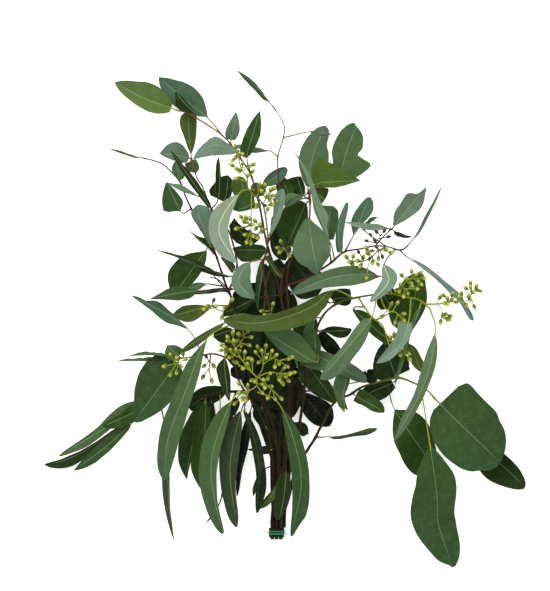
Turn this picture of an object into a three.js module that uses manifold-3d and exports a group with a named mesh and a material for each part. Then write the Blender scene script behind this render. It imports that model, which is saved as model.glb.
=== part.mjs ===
// A bunch of seeded eucalyptus: six leafy stems with their bud sprays, held near the cut ends by a band
// and two green strands, lying on its side. X runs across the bunch, Y from the cut ends to the tips, and
// Z up from the surface that it lies on. The origin is under the middle of the bunch. Millimetres.
import * as THREE from "three";
import Module from "manifold-3d";

const wasm = await Module();
wasm.setup();

// Every place below is [across, down, height]: across from the left and down from the top as the bunch is
// seen from above, with the tips at the top, and height over the surface. The middle comes to the origin.
const middleAcross = 285;
const middleDown = 319.5;

const bladeThickness = 1.4;
const petioleRadius = 0.8;
const bladeFold = 0.22; // how far a blade's edge stands above its midrib, per millimetre of half width
const edgeWave = 0.06; // swing of the waved edge, per millimetre of half width
const twigSides = 5;
const longestTwigStep = 34;
const budRadius = 2.5;
const budLength = 7;
const budStalkRadius = 0.5;
const budSides = 4;
const umbelLength = 5; // the stretch before a joint of a stalk that its buds grow from
const seatGap = 0.3; // between a spray's stalk and the twig that carries it
const golden = 0.618034; // spreads heights and waves evenly, with no two neighbours alike

// A blade's half width at v from base to tip is v^base * (1 - v)^tip, scaled to its greatest value.
const outlines = {
  lance: { base: 0.62, tip: 0.85 },
  sickle: { base: 0.7, tip: 1.15 },
  oval: { base: 0.5, tip: 0.56 },
  broad: { base: 0.5, tip: 0.68 },
  spoon: { base: 0.85, tip: 0.42 },
};
const longStations = [0, 0.1, 0.3, 0.56, 0.82, 1];
const shortStations = [0, 0.14, 0.45, 0.8, 1];
const shortBlade = 36;

const leafColour = 0x55784f;
const palerLeafColour = 0x6d8c74;
const budColour = 0xb4b83e;
const bandColour = 0x1d211c;
const strandColour = 0x32965a;

// The stems lie in two rows of three where they are tied.
const tieDown = 533.5;
const stemSpacing = 4.35;
const lowRowHeight = 5.0;
const highRowHeight = 9.4;
const cutEndDown = 540.5;
const stemRadius = 2.0;
const leftStemAcross = 276.5 - stemSpacing;
const middleStemAcross = 276.5;
const rightStemAcross = 276.5 + stemSpacing;
const strandThickness = 1.15;
const bandThickness = 1.2;
const tieClearance = 0.35;

// A twig is [radius at its start, radius at its end, points...]. The first twig of a stem is its main
// axis, and each later one starts on the nearest twig before it, so its first point has no height.
// A leaf is [outline, width, tilt in degrees, place on the twig, base of the blade, ..., tip].
const stems = {
  leafy_stem_top_left: {
    colour: leafColour,
    twigs: [
      [stemRadius, 0.8,
        [rightStemAcross, cutEndDown, highRowHeight], [rightStemAcross, 527, highRowHeight],
        [rightStemAcross, 520, highRowHeight],
        [282, 500, 15], [284, 470, 23], [286, 440, 30], [289, 400, 40], [288, 345, 50], [284, 315, 55],
        [279, 290, 58], [276, 277, 60], [266, 240, 66], [260, 208, 66], [256, 192, 65], [250, 173, 62],
        [240, 158, 58], [228, 141, 54], [215, 130, 50], [198, 119, 46], [185, 112, 42], [176, 110, 40]],
      [1.0, 0.6,
        [268, 246], [275, 224, 68], [280, 200, 67], [278, 172, 64], [278, 156, 62], [283, 139, 60],
        [284, 125, 57], [273, 106, 52]],
    ],
    leaves: [
      ["lance", 23, 8, [178, 110], [171, 108, 41], [142, 97, 40], [114, 82, 30]],
      ["lance", 28, -12, [222, 135], [208, 118, 42], [182, 97, 25], [158, 76, 0]],
      ["lance", 11, 20, [197, 118], [195, 114, 50], [186, 103, 56], [175, 92, 58]],
      ["oval", 20, -25, [241, 159], [237, 152, 66], [214, 146, 75], [192, 158, 76]],
      ["oval", 15, 10, [231, 145], [231, 140, 58], [234, 126, 64], [236, 112, 64]],
      ["oval", 15, -20, [252, 178], [247, 158, 72], [253, 135, 80], [260, 111, 80]],
      ["lance", 10, 35, [278, 157], [270, 151, 57], [254, 148, 50], [236, 147, 46]],
      ["lance", 17, 82, [275, 109], [270, 103, 52], [258, 88, 49], [237, 70, 40]],
      ["lance", 14, 78, [284, 138], [309, 132, 64], [321, 134, 66], [332, 134, 64]],
      ["lance", 14, 5, [256, 191], [262, 186, 59], [275, 177, 53], [287, 168, 46]],
      ["oval", 17, -10, [280, 203], [289, 200, 54], [285, 185, 46], [277, 171, 41]],
      ["sickle", 13, 15, [267, 243], [268, 236, 76], [278, 213, 90], [283, 189, 93]],
      ["oval", 22, 12, [259, 206], [255, 204, 71], [245, 208, 76], [234, 212, 77]],
      ["oval", 18, 0, [258, 200], [259, 196, 56], [258, 189, 52], [256, 182, 50]],
      ["oval", 14, 0, [257, 196], [246, 198, 55], [243, 187, 49], [240, 176, 46]],
      ["oval", 22, 15, [271, 259], [251, 262, 84], [239, 281, 92], [254, 299, 90]],
      ["lance", 20, -10, [270, 253], [267, 251, 58], [252, 250, 53], [232, 250, 50]],
      ["sickle", 9, 25, [271, 258], [265, 259, 67], [262, 285, 68], [258, 311, 66]],
      ["sickle", 7, 40, [268, 248], [267, 256, 76], [273, 267, 84], [282, 279, 86]],
      ["lance", 15, 0, [280, 296], [258, 298, 52], [240, 306, 46], [222, 314, 40]],
      ["sickle", 21, -10, [255, 190], [239, 194, 84], [219, 229, 98], [237, 263, 92]],
      ["lance", 16, 15, [284, 466], [286, 473, 40], [284, 497, 45], [279, 521, 38]],
    ],
  },
  leafy_stem_left: {
    colour: leafColour,
    twigs: [
      [stemRadius, 0.8,
        [middleStemAcross, cutEndDown, highRowHeight], [middleStemAcross, 527, highRowHeight],
        [middleStemAcross, 520, highRowHeight],
        [278.5, 500, 18], [279, 470, 27], [277, 450, 34], [275, 435, 38], [270, 415, 43], [262, 400, 47],
        [253, 385, 51], [245, 355, 57], [239, 325, 62], [233, 302, 65], [226, 285, 68], [217, 258, 70],
        [212, 245, 70], [200, 225, 68], [193, 212, 66], [185, 195, 62], [180, 182, 58], [165, 166, 52],
        [155, 161, 50], [143, 158, 48]],
      [1.1, 0.7,
        [229, 291], [237, 268, 66], [232, 240, 64], [225, 225, 64], [212, 210, 62], [203, 188, 58],
        [197, 178, 56], [193, 165, 54], [191, 157, 54]],
    ],
    leaves: [
      ["spoon", 18, 0, [192, 160], [191, 155, 48], [189, 133, 36], [188, 111, 22]],
      ["oval", 19, 8, [192, 160], [189, 158, 57], [175, 155, 63], [159, 154, 63]],
      ["oval", 20, 0, [192, 160], [191, 161, 46], [194, 167, 42], [196, 174, 40]],
      ["oval", 14, -20, [180, 183], [180, 180, 62], [178, 171, 66], [176, 161, 66]],
      ["lance", 8, 35, [211, 210], [210, 207, 72], [192, 181, 80], [171, 151, 80]],
      ["oval", 24, 5, [191, 208], [182, 213, 58], [174, 198, 55], [166, 182, 50]],
      ["sickle", 8, 30, [206, 197], [200, 197, 66], [183, 190, 72], [166, 183, 74]],
      ["lance", 16, 80, [145, 159], [140, 157, 48], [125, 152, 50], [108, 149, 46]],
      ["oval", 20, -15, [213, 247], [210, 245, 77], [202, 226, 85], [197, 205, 87]],
      ["lance", 12, 70, [223, 276], [218, 274, 76], [190, 262, 84], [156, 250, 84]],
      ["broad", 33, 8, [212, 246], [206, 250, 60], [190, 273, 52], [172, 297, 38]],
      ["lance", 13, 20, [229, 291], [198, 291, 80], [174, 294, 86], [150, 299, 84]],
      ["lance", 18, 12, [234, 305], [211, 306, 70], [192, 311, 62], [173, 316, 52]],
      ["sickle", 22, 8, [238, 321], [207, 339, 84], [187, 388, 92], [168, 440, 80], [165, 480, 66]],
      ["lance", 17, -18, [239, 326], [226, 322, 73], [201, 338, 78], [178, 352, 74]],
      ["oval", 16, 0, [215, 213], [224, 202, 54], [227, 189, 48], [228, 175, 44]],
      ["sickle", 7, 30, [212, 209], [218, 200, 67], [220, 178, 75], [219, 157, 76]],
      ["oval", 12, 0, [237, 268], [234, 270, 58], [228, 264, 54], [221, 257, 52]],
      ["oval", 16, 0, [240, 329], [232, 330, 52], [222, 333, 48], [213, 337, 46]],
      ["sickle", 8, 20, [279, 472], [280, 479, 38], [272, 495, 41], [260, 509, 38]],
      ["sickle", 19, -8, [256, 390], [281, 407, 62], [301, 475, 66], [291, 537, 46]],
    ],
  },
  leafy_stem_top_right: {
    colour: palerLeafColour,
    twigs: [
      [stemRadius, 0.9,
        [leftStemAcross, cutEndDown, lowRowHeight], [leftStemAcross, 527, lowRowHeight],
        [leftStemAcross, 520, lowRowHeight],
        [277, 500, 9], [283, 470, 14], [288, 440, 20], [292, 400, 28], [291, 345, 38], [288, 305, 45],
        [287, 285, 48], [289, 265, 52], [298, 243, 57], [308, 225, 60], [310, 205, 58], [309, 190, 55]],
      [1.2, 0.8,
        [287, 285], [303, 280, 54], [320, 270, 61], [332, 262, 66], [344, 252, 71], [360, 249, 73],
        [375, 246, 72], [388, 247, 68], [398, 250, 64], [404, 249, 62]],
      [0.8, 0.7, [375, 246], [380, 240, 75], [391, 229, 76]],
      [0.7, 0.6, [386, 247], [372, 237, 70], [362, 229, 70]],
    ],
    leaves: [
      ["broad", 30, -5, [309, 191], [308, 186, 54], [312, 160, 42], [318, 143, 26], [326, 125, 0]],
      ["broad", 36, 5, [309, 192], [337, 177, 62], [347, 150, 56], [357, 123, 40]],
      ["lance", 29, -10, [309, 191], [314, 185, 68], [336, 182, 76], [360, 181, 72]],
      ["sickle", 12, 20, [334, 260], [331, 245, 84], [323, 225, 95], [314, 203, 99], [303, 175, 97],
        [291, 148, 88]],
      ["oval", 13, 10, [309, 198], [303, 199, 64], [293, 202, 70], [284, 206, 72]],
      ["oval", 16, 0, [309, 200], [303, 195, 51], [300, 186, 44], [297, 176, 40]],
      ["oval", 28, 5, [309, 201], [306, 204, 52], [296, 226, 44], [285, 250, 38]],
      ["lance", 12, 65, [309, 193], [305, 195, 68], [295, 201, 79], [283, 210, 82]],
      ["oval", 37, 0, [308, 223], [309, 219, 70], [312, 245, 90], [318, 274, 86]],
      ["sickle", 14, 12, [341, 256], [340, 252, 80], [338, 228, 87], [346, 202, 85]],
      ["oval", 20, 0, [331, 262], [328, 240, 57], [329, 223, 50], [331, 206, 46]],
      ["oval", 21, -12, [345, 252], [353, 236, 76], [361, 217, 74], [369, 197, 66]],
      ["lance", 8, 60, [364, 231], [366, 224, 74], [371, 219, 77], [378, 217, 76]],
      ["sickle", 9, 20, [391, 229], [387, 229, 80], [365, 229, 87], [343, 222, 86]],
      ["oval", 23, 12, [391, 229], [394, 226, 75], [410, 206, 77], [426, 187, 67]],
      ["sickle", 8, 30, [404, 249], [412, 240, 67], [429, 213, 77], [442, 185, 77]],
      ["lance", 10, 65, [391, 229], [394, 231, 68], [403, 235, 63], [412, 237, 56]],
      ["sickle", 12, 15, [400, 250], [407, 257, 58], [430, 271, 53], [450, 285, 47], [462, 301, 40],
        [473, 321, 30]],
      ["sickle", 18, -10, [395, 249], [384, 264, 86], [388, 282, 96], [370, 302, 92]],
      ["lance", 18, 10, [291, 345], [297, 347, 46], [330, 362, 52], [367, 382, 48]],
      ["oval", 14, 0, [290, 421], [293, 421, 17], [301, 427, 12], [309, 434, 9]],
    ],
  },
  leafy_stem_right: {
    colour: palerLeafColour,
    twigs: [
      [stemRadius, 0.9,
        [middleStemAcross, cutEndDown, lowRowHeight], [middleStemAcross, 527, lowRowHeight],
        [middleStemAcross, 520, lowRowHeight],
        [283, 500, 8], [290, 470, 13], [297, 440, 20], [303, 400, 30], [307, 360, 40], [316, 330, 50],
        [325, 313, 57], [338, 303, 62], [350, 299, 65], [372, 295, 68], [392, 294, 70], [405, 297, 70],
        [419, 300, 68], [430, 309, 64]],
      [1.0, 0.7, [357, 297], [365, 308, 62], [372, 317, 62], [382, 325, 60], [386, 335, 58], [389, 345, 56]],
    ],
    leaves: [
      ["lance", 20, 8, [392, 294], [380, 276, 84], [335, 277, 104], [290, 294, 108]],
      ["lance", 22, -5, [354, 298], [333, 290, 92], [317, 303, 104], [300, 312, 112], [275, 320, 116],
        [250, 323, 114], [224, 319, 106]],
      ["lance", 18, -12, [313, 338], [317, 362, 67], [290, 347, 74], [264, 331, 75]],
      ["lance", 19, 10, [376, 295], [371, 318, 84], [346, 349, 92], [320, 379, 80]],
      ["sickle", 15, -12, [411, 298], [408, 322, 84], [399, 345, 92], [376, 363, 86]],
      ["sickle", 8, 30, [421, 301], [420, 306, 66], [411, 335, 66], [395, 386, 56]],
      ["broad", 40, 5, [387, 337], [404, 334, 50], [413, 303, 46], [421, 272, 38]],
      ["oval", 20, 0, [376, 320], [391, 311, 55], [386, 299, 51], [380, 286, 50]],
      ["lance", 15, 0, [364, 307], [354, 309, 56], [373, 327, 50], [395, 345, 44]],
      ["lance", 16, -10, [430, 309], [435, 333, 78], [424, 383, 84], [393, 442, 66]],
      ["lance", 12, 15, [316, 330], [321, 331, 47], [337, 331, 45], [352, 330, 40]],
      ["oval", 18, 0, [315, 333], [320, 332, 38], [331, 342, 32], [342, 353, 26]],
      ["oval", 18, 10, [322, 318], [314, 320, 66], [315, 336, 72], [316, 354, 70]],
      ["broad", 36, 0, [307, 360], [298, 353, 30], [317, 378, 19], [336, 404, 5]],
      ["oval", 32, 0, [303, 400], [301, 393, 22], [315, 409, 13], [330, 427, 4]],
      ["oval", 13, -15, [389, 345], [408, 343, 60], [415, 357, 64], [422, 373, 62]],
    ],
  },
  leafy_stem_lower_right: {
    colour: leafColour,
    twigs: [
      [stemRadius, 1.0,
        [rightStemAcross, cutEndDown, lowRowHeight], [rightStemAcross, 527, lowRowHeight],
        [rightStemAcross, 520, lowRowHeight],
        [288, 500, 6], [296, 470, 8], [308, 450, 10], [315, 439, 12], [321, 427, 14], [335, 402, 20],
        [350, 395, 24], [363, 387, 28], [388, 380, 34], [400, 378, 36], [416, 384, 38], [427, 390, 40],
        [436, 400, 42]],
    ],
    leaves: [
      ["oval", 38, 0, [398, 378], [396, 376, 28], [390, 360, 20], [384, 342, 12]],
      ["oval", 20, 0, [398, 378], [393, 383, 27], [377, 390, 19], [360, 398, 14]],
      ["broad", 72, 0, [435, 399], [440, 404, 44], [456, 420, 50], [475, 438, 46], [501, 463, 30]],
      ["flat", 28, 0, [434, 397], [472, 435, 3], [486, 449, 0.7], [500, 463, 0.7], [527, 488, 0.7]],
      ["broad", 38, 5, [388, 380], [394, 408, 32], [415, 440, 28], [436, 470, 16]],
      ["lance", 45, -5, [421, 387], [430, 446, 62], [437, 495, 42], [439, 525, 22], [454, 569, 2]],
      ["oval", 16, -10, [352, 394], [356, 396, 32], [370, 404, 36], [385, 412, 34]],
      ["oval", 18, 8, [340, 400], [345, 409, 34], [346, 388, 44], [345, 366, 46]],
      ["sickle", 8, 25, [316, 438], [328, 437, 18], [353, 433, 24], [378, 429, 24]],
    ],
  },
  leafy_stem_lower_left: {
    colour: leafColour,
    twigs: [
      [stemRadius, 0.9,
        [leftStemAcross, cutEndDown, highRowHeight], [leftStemAcross, 527, highRowHeight],
        [leftStemAcross, 520, highRowHeight],
        [273.5, 500, 18], [274, 470, 27], [272, 450, 33], [269, 433, 37], [263, 417, 41], [254, 403, 44],
        [245, 392, 46], [238, 378, 50], [235, 362, 54], [232, 345, 58]],
      [1.4, 0.8,
        [245, 392], [228, 392, 44], [207, 396, 40], [185, 399, 36], [160, 402, 32], [148, 408, 28],
        [134, 420, 24]],
      [1.1, 0.7, [235, 361], [215, 354, 58], [198, 356, 60], [181, 358, 60], [170, 358, 58]],
    ],
    leaves: [
      ["sickle", 15, 25, [203, 355], [188, 329, 64], [160, 310, 74], [132, 296, 76]],
      ["oval", 16, 0, [181, 358], [179, 356, 65], [173, 351, 67], [167, 344, 66]],
      ["lance", 15, 78, [171, 358], [167, 356, 63], [148, 355, 64], [128, 356, 60]],
      ["lance", 15, 76, [171, 358], [166, 361, 54], [143, 361, 52], [117, 361, 44]],
      ["broad", 47, 6, [181, 358], [177, 363, 55], [156, 392, 58], [134, 422, 48]],
      ["lance", 15, 8, [150, 406], [146, 403, 26], [102, 430, 20], [58, 457, 10]],
      ["lance", 18, -10, [141, 414], [136, 412, 34], [120, 419, 36], [102, 427, 34]],
      ["lance", 10, 15, [135, 419], [128, 424, 20], [86, 446, 12], [43, 466, 0]],
      ["lance", 15, -15, [136, 418], [131, 424, 26], [103, 449, 24], [73, 471, 16]],
      ["sickle", 8, 20, [160, 402], [164, 425, 34], [168, 485, 24], [174, 542, 12]],
      ["sickle", 15, 10, [207, 396], [205, 401, 33], [196, 440, 30], [187, 480, 22]],
      ["lance", 13, -12, [206, 396], [206, 402, 46], [204, 445, 48], [200, 488, 40]],
      ["lance", 16, 0, [213, 395], [211, 402, 32], [206, 432, 24], [199, 462, 18]],
      ["sickle", 19, -8, [245, 392], [231, 402, 60], [211, 465, 66], [223, 534, 48]],
      ["sickle", 18, 10, [250, 398], [241, 412, 44], [230, 468, 46], [237, 528, 30]],
      ["lance", 13, 0, [254, 403], [251, 409, 36], [244, 452, 28], [237, 497, 18]],
      ["sickle", 13, 12, [250, 398], [245, 410, 54], [258, 455, 58], [257, 514, 44]],
      ["lance", 9, 20, [268, 431], [266, 427, 48], [261, 416, 54], [255, 404, 56]],
      ["sickle", 6, 20, [273, 466], [263, 471, 30], [258, 484, 30], [254, 497, 28]],
      ["lance", 9, 15, [272, 450], [267, 450, 40], [257, 450, 42], [247, 449, 40]],
      ["sickle", 13, 15, [235, 355], [225, 358, 60], [226, 380, 64], [229, 401, 60]],
      ["sickle", 6, 20, [220, 394], [220, 401, 34], [221, 470, 22], [205, 525, 12]],
    ],
  },
};

// A spray is a leafless twig with buds. Its first stalk starts at the nearest twig of its stem, cut back
// by the seat gap, and each bud grows from the nearest joint of its stalks. Buds have no height of their
// own: they stand above their joint by the rise, and up and down from there by the spread.
const sprays = {
  bud_spray_top: {
    on: "leafy_stem_top_left",
    rise: 2,
    spread: 7,
    stalks: [
      [1.1, 0.7,
        [287, 340], [277, 325, 65], [270, 310, 71], [266, 290, 77], [263, 265, 86], [266, 252, 90],
        [268, 240, 94], [267, 228, 97], [265, 213, 100], [262, 203, 102], [255, 196, 104],
        [248, 189, 105], [247, 178, 107], [241, 168, 108], [238, 153, 108]],
      [0.6, 0.5, [267, 230], [258, 227, 104], [249, 225, 108]],
      [0.6, 0.5, [263, 205], [267, 196, 106]],
      [0.5, 0.5, [252, 193], [251, 236, 106]],
    ],
    buds: [
      [236, 147], [242, 155], [236, 158], [232, 166], [237, 170],
      [249, 167], [254, 165], [253, 172], [237, 179], [260, 185], [265, 186], [273, 196],
      [270, 201], [257, 207], [272, 205], [241, 217], [250, 219], [237, 229],
      [256, 229], [260, 225], [250, 232], [247, 242], [251, 243], [262, 311],
      [265, 315], [273, 304],
    ],
  },
  bud_spray_heart: {
    on: "leafy_stem_top_right",
    rise: 2,
    spread: 4,
    stalks: [[0.8, 0.6, [296, 247], [288, 247, 65], [284, 249, 68]]],
    buds: [[281, 242], [284, 245], [278, 248], [280, 252], [288, 250], [289, 255]],
  },
  bud_spray_upper_right: {
    on: "leafy_stem_top_right",
    rise: 2,
    spread: 5,
    stalks: [
      [0.9, 0.6, [386, 247], [378, 251, 84], [370, 258, 91], [360, 262, 95], [349, 261, 96]],
      [0.6, 0.5, [378, 251], [376, 242, 94], [380, 236, 98]],
      [0.5, 0.5, [370, 258], [367, 268, 104]],
    ],
    buds: [
      [346, 257], [353, 256], [352, 264], [360, 266], [366, 248], [367, 253], [372, 263],
      [378, 265], [391, 253], [374, 240], [384, 231], [388, 237], [366, 241], [376, 232], [366, 277],
    ],
  },
  bud_spray_right: {
    on: "leafy_stem_right",
    rise: 2,
    spread: 5,
    stalks: [
      [0.9, 0.6, [399, 295], [402, 287, 82], [406, 281, 88], [414, 277, 92]],
      [0.6, 0.5, [402, 287], [406, 290, 90]],
    ],
    buds: [
      [401, 275], [411, 271], [420, 273], [423, 278], [420, 284], [411, 287], [416, 289], [407, 293],
      [403, 296],
    ],
  },
  bud_spray_far_right: {
    on: "leafy_stem_right",
    rise: 1,
    spread: 5,
    stalks: [
      [0.9, 0.6,
        [424, 304], [436, 304, 73], [450, 302, 76], [465, 301, 77], [470, 297, 78], [471, 290, 80]],
      [0.6, 0.5, [437, 304], [441, 309, 78], [442, 315, 80]],
    ],
    buds: [
      [440, 297], [447, 298], [452, 294], [444, 303], [465, 288], [470, 283],
      [476, 286], [480, 291], [473, 292], [470, 300], [474, 307], [443, 317], [447, 320],
      [450, 316], [440, 322],
    ],
  },
  bud_spray_inner_right: {
    on: "leafy_stem_right",
    rise: 2,
    spread: 4,
    stalks: [[0.8, 0.6, [380, 295], [382, 302, 77], [387, 311, 80], [395, 312, 81], [399, 316, 82]]],
    buds: [[391, 304], [397, 303], [403, 314], [403, 320], [395, 322], [381, 317]],
  },
  bud_spray_small: {
    on: "leafy_stem_right",
    rise: 3,
    spread: 3,
    stalks: [[0.7, 0.5, [387, 340], [394, 342, 70], [402, 349, 76]]],
    buds: [[394, 334], [390, 337], [408, 353], [409, 359], [400, 354]],
  },
  bud_spray_upper_left: {
    on: "leafy_stem_left",
    rise: 2,
    spread: 4,
    stalks: [[0.8, 0.6, [231, 298], [228, 306, 78], [222, 311, 84], [212, 306, 87]]],
    buds: [[214, 300], [216, 306], [208, 306], [205, 309], [232, 300], [225, 307], [222, 318]],
  },
  bud_spray_left: {
    on: "leafy_stem_lower_left",
    rise: 2,
    spread: 4,
    stalks: [[0.8, 0.6, [188, 357], [184, 360, 72], [176, 364, 78]]],
    buds: [
      [171, 355], [177, 358], [183, 353], [186, 359], [165, 366], [171, 374], [177, 372], [181, 366],
    ],
  },
  bud_spray_inner_left: {
    on: "leafy_stem_lower_left",
    rise: 1,
    spread: 3,
    stalks: [[0.8, 0.6, [211, 354], [210, 362, 68], [209, 372, 72]]],
    buds: [[206, 356], [204, 366], [214, 366], [203, 377], [212, 381]],
  },
  bud_spray_middle: {
    on: "leafy_stem_left",
    rise: 2,
    spread: 8,
    stalks: [
      [0.9, 0.8, [252, 381], [256, 378, 76], [262, 370, 84], [264, 358, 88]],
      [0.8, 0.6, [257, 377], [270, 372, 88], [281, 374, 90]],
      [0.8, 0.6, [257, 377], [250, 370, 82], [241, 358, 86], [233, 343, 86]],
      [0.7, 0.6, [257, 377], [256, 386, 86], [246, 392, 86]],
      [0.7, 0.6, [258, 376], [268, 386, 88], [275, 392, 88]],
    ],
    buds: [
      [258, 347], [262, 351], [266, 346], [252, 360], [248, 364], [267, 355], [276, 355],
      [288, 359], [275, 366], [264, 380], [271, 386], [270, 373],
      [285, 376], [288, 380], [290, 373], [252, 380], [239, 383], [240, 392],
      [235, 403], [246, 399], [262, 392], [268, 397], [281, 398], [222, 345], [228, 337], [236, 350],
    ],
  },
};

function place([across, down, height = 0]) {
  return new THREE.Vector3(across - middleAcross, middleDown - down, height);
}

function routeThrough(points) {
  return new THREE.CatmullRomCurve3(points, false, "catmullrom", 0.5);
}

// The middle of the twig that passes nearest below or above a place.
function nearestOnTwigs(routes, spot) {
  const searchSteps = 160;
  const target = place(spot);
  let best = null;
  let bestDistance = Infinity;
  for (const route of routes) {
    for (let i = 0; i <= searchSteps; i++) {
      const point = route.getPoint(i / searchSteps);
      const distance = Math.hypot(point.x - target.x, point.y - target.y);
      if (distance < bestDistance) {
        bestDistance = distance;
        best = point;
      }
    }
  }
  return best;
}

// Two directions square to the tangent and to each other, turned by an angle about it.
function crossDirections(tangent, turn) {
  const upright = new THREE.Vector3(0, 0, 1);
  const level = new THREE.Vector3(1, 0, 0);
  const reference = Math.abs(tangent.z) > 0.9 ? level : upright;
  const side = new THREE.Vector3().crossVectors(reference, tangent).normalize();
  side.applyAxisAngle(tangent, turn);
  return { side, normal: new THREE.Vector3().crossVectors(tangent, side) };
}

// One closed skin over rings of equally many points. The last ring may be a single point, the tip. Facing
// skins of a blade share the direction of their diagonals, so they never cross.
function loft(rings) {
  const count = rings[0].length;
  const positions = rings.flat().flatMap((point) => point.toArray());
  const faces = [];
  for (let k = 1; k < count - 1; k++) faces.push(0, k, k + 1);
  for (let i = 0; i + 1 < rings.length; i++) {
    const start = i * count;
    const next = start + count;
    for (let k = 0; k < count; k++) {
      const a = start + k;
      const b = start + ((k + 1) % count);
      if (rings[i + 1].length === 1) {
        faces.push(a, next, b);
        continue;
      }
      const c = next + k;
      const d = next + ((k + 1) % count);
      if (k % 2 === 0) faces.push(a, c, d, a, d, b);
      else faces.push(a, c, b, b, c, d);
    }
  }
  const last = (rings.length - 1) * count;
  if (rings.at(-1).length > 1) {
    for (let k = 1; k < count - 1; k++) faces.push(last, last + k + 1, last + k);
  }
  const geometry = new THREE.BufferGeometry();
  geometry.setAttribute("position", new THREE.Float32BufferAttribute(positions, 3));
  return geometry.setIndex(faces);
}

function solidOf(geometry) {
  const mesh = new wasm.Mesh({
    numProp: 3,
    vertProperties: new Float32Array(geometry.attributes.position.array),
    triVerts: new Uint32Array(geometry.index.array),
  });
  return new wasm.Manifold(mesh);
}

function geometryOf(solid) {
  const mesh = solid.getMesh();
  const geometry = new THREE.BufferGeometry();
  geometry.setAttribute("position", new THREE.BufferAttribute(mesh.vertProperties, 3));
  geometry.setIndex(new THREE.BufferAttribute(mesh.triVerts, 1));
  return geometry;
}

function ringRound(centre, tangent, radius, sides) {
  const { side, normal } = crossDirections(tangent, 0);
  return Array.from({ length: sides }, (_, k) => {
    const angle = (2 * Math.PI * k) / sides;
    const point = centre.clone().addScaledVector(side, -radius * Math.cos(angle));
    return point.addScaledVector(normal, radius * Math.sin(angle));
  });
}

// A tube with a ring at each point of its route, and one more halfway along a long stretch.
function twigSolid(route, startRadius, endRadius, sides = twigSides) {
  const stretches = route.points.length - 1;
  const places = [0];
  for (let i = 1; i <= stretches; i++) {
    if (route.points[i].distanceTo(route.points[i - 1]) > longestTwigStep) {
      places.push((i - 0.5) / stretches);
    }
    places.push(i / stretches);
  }
  const rings = places.map((t) => {
    const radius = startRadius + (endRadius - startRadius) * t;
    return ringRound(route.getPoint(t), route.getTangent(t), radius, sides);
  });
  return solidOf(loft(rings));
}

function halfWidthAt(outline, width, v) {
  const { base, tip } = outlines[outline];
  const widest = base / (base + tip);
  const most = widest ** base * (1 - widest) ** tip;
  return (width / 2) * ((v ** base * (1 - v) ** tip) / most);
}

// A blade and its petiole in one skin: four points round each station, at the two edges and over and
// under the midrib. A flat leaf has a level underside, which lies on the surface.
function leafSolid([outline, width, tiltDegrees, , ...blade], start, number) {
  const points = [start, ...blade.map(place)];
  const route = routeThrough(points);
  const chords = points.slice(1).map((point, i) => point.distanceTo(points[i]));
  const wholeLength = chords.reduce((sum, chord) => sum + chord, 0);
  const petioleShare = chords[0] / wholeLength;
  const isFlat = outline === "flat";
  const shape = isFlat ? "lance" : outline;
  const stations = wholeLength - chords[0] < shortBlade ? shortStations : longStations;
  const half = bladeThickness / 2;
  const rings = [ringRound(start, route.getTangentAt(0), petioleRadius, 4)];
  for (const v of stations) {
    const u = petioleShare + (1 - petioleShare) * v;
    const centre = route.getPointAt(u);
    if (isFlat) centre.setZ(Math.max(centre.z, half));
    if (v === 1) {
      rings.push([centre]);
      continue;
    }
    const tilt = THREE.MathUtils.degToRad(tiltDegrees) * Math.min(1, 4 * v);
    const { side, normal } = crossDirections(route.getTangentAt(u), tilt);
    if (isFlat) normal.set(0, 0, 1);
    const halfWidth = Math.max(petioleRadius, halfWidthAt(shape, width, v));
    const swing = edgeWave * halfWidth * Math.sin(2 * Math.PI * (1.5 * v + golden * number));
    const lift = v === 0 ? 0 : bladeFold * halfWidth;
    const leftLift = isFlat ? -half : lift + swing;
    const rightLift = isFlat ? -half : lift - swing;
    rings.push([
      centre.clone().addScaledVector(side, -halfWidth).addScaledVector(normal, leftLift),
      centre.clone().addScaledVector(normal, half),
      centre.clone().addScaledVector(side, halfWidth).addScaledVector(normal, rightLift),
      centre.clone().addScaledVector(normal, -half),
    ]);
  }
  return solidOf(loft(rings));
}

// A pointed bud on a thin stalk.
function budSolid(root, centre) {
  const direction = centre.clone().sub(root).normalize();
  const alongBy = (distance) => centre.clone().addScaledVector(direction, distance);
  return solidOf(
    loft([
      ringRound(root, direction, budStalkRadius, budSides),
      ringRound(alongBy(-budLength / 2), direction, budStalkRadius, budSides),
      ringRound(alongBy(0), direction, budRadius, budSides),
      [alongBy(budLength / 2)],
    ]),
  );
}

function routesOf(twigs, carriers) {
  const routes = [];
  for (const [, , first, ...rest] of twigs) {
    const isMain = first.length === 3;
    const start = isMain ? place(first) : nearestOnTwigs(routes.length ? routes : carriers, first);
    routes.push(routeThrough([start, ...rest.map(place)]));
  }
  return routes;
}

function union(solids) {
  return wasm.Manifold.union(solids);
}

function stemSolid({ twigs, leaves }, routes) {
  const solids = routes.map((route, i) => twigSolid(route, twigs[i][0], twigs[i][1]));
  leaves.forEach((leaf, number) => {
    solids.push(leafSolid(leaf, nearestOnTwigs(routes, leaf[3]), number));
  });
  return union(solids);
}

// The places where buds grow: each point of a stalk but its first, with the point before it.
function jointsOf(routes) {
  return routes.flatMap(({ points }) => points.slice(1).map((point, i) => ({ point, before: points[i] })));
}

function nearestJoint(joints, bud) {
  const target = place(bud);
  const flatDistance = ({ point }) => Math.hypot(point.x - target.x, point.y - target.y);
  return joints.reduce((best, joint) => (flatDistance(joint) < flatDistance(best) ? joint : best));
}

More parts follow.
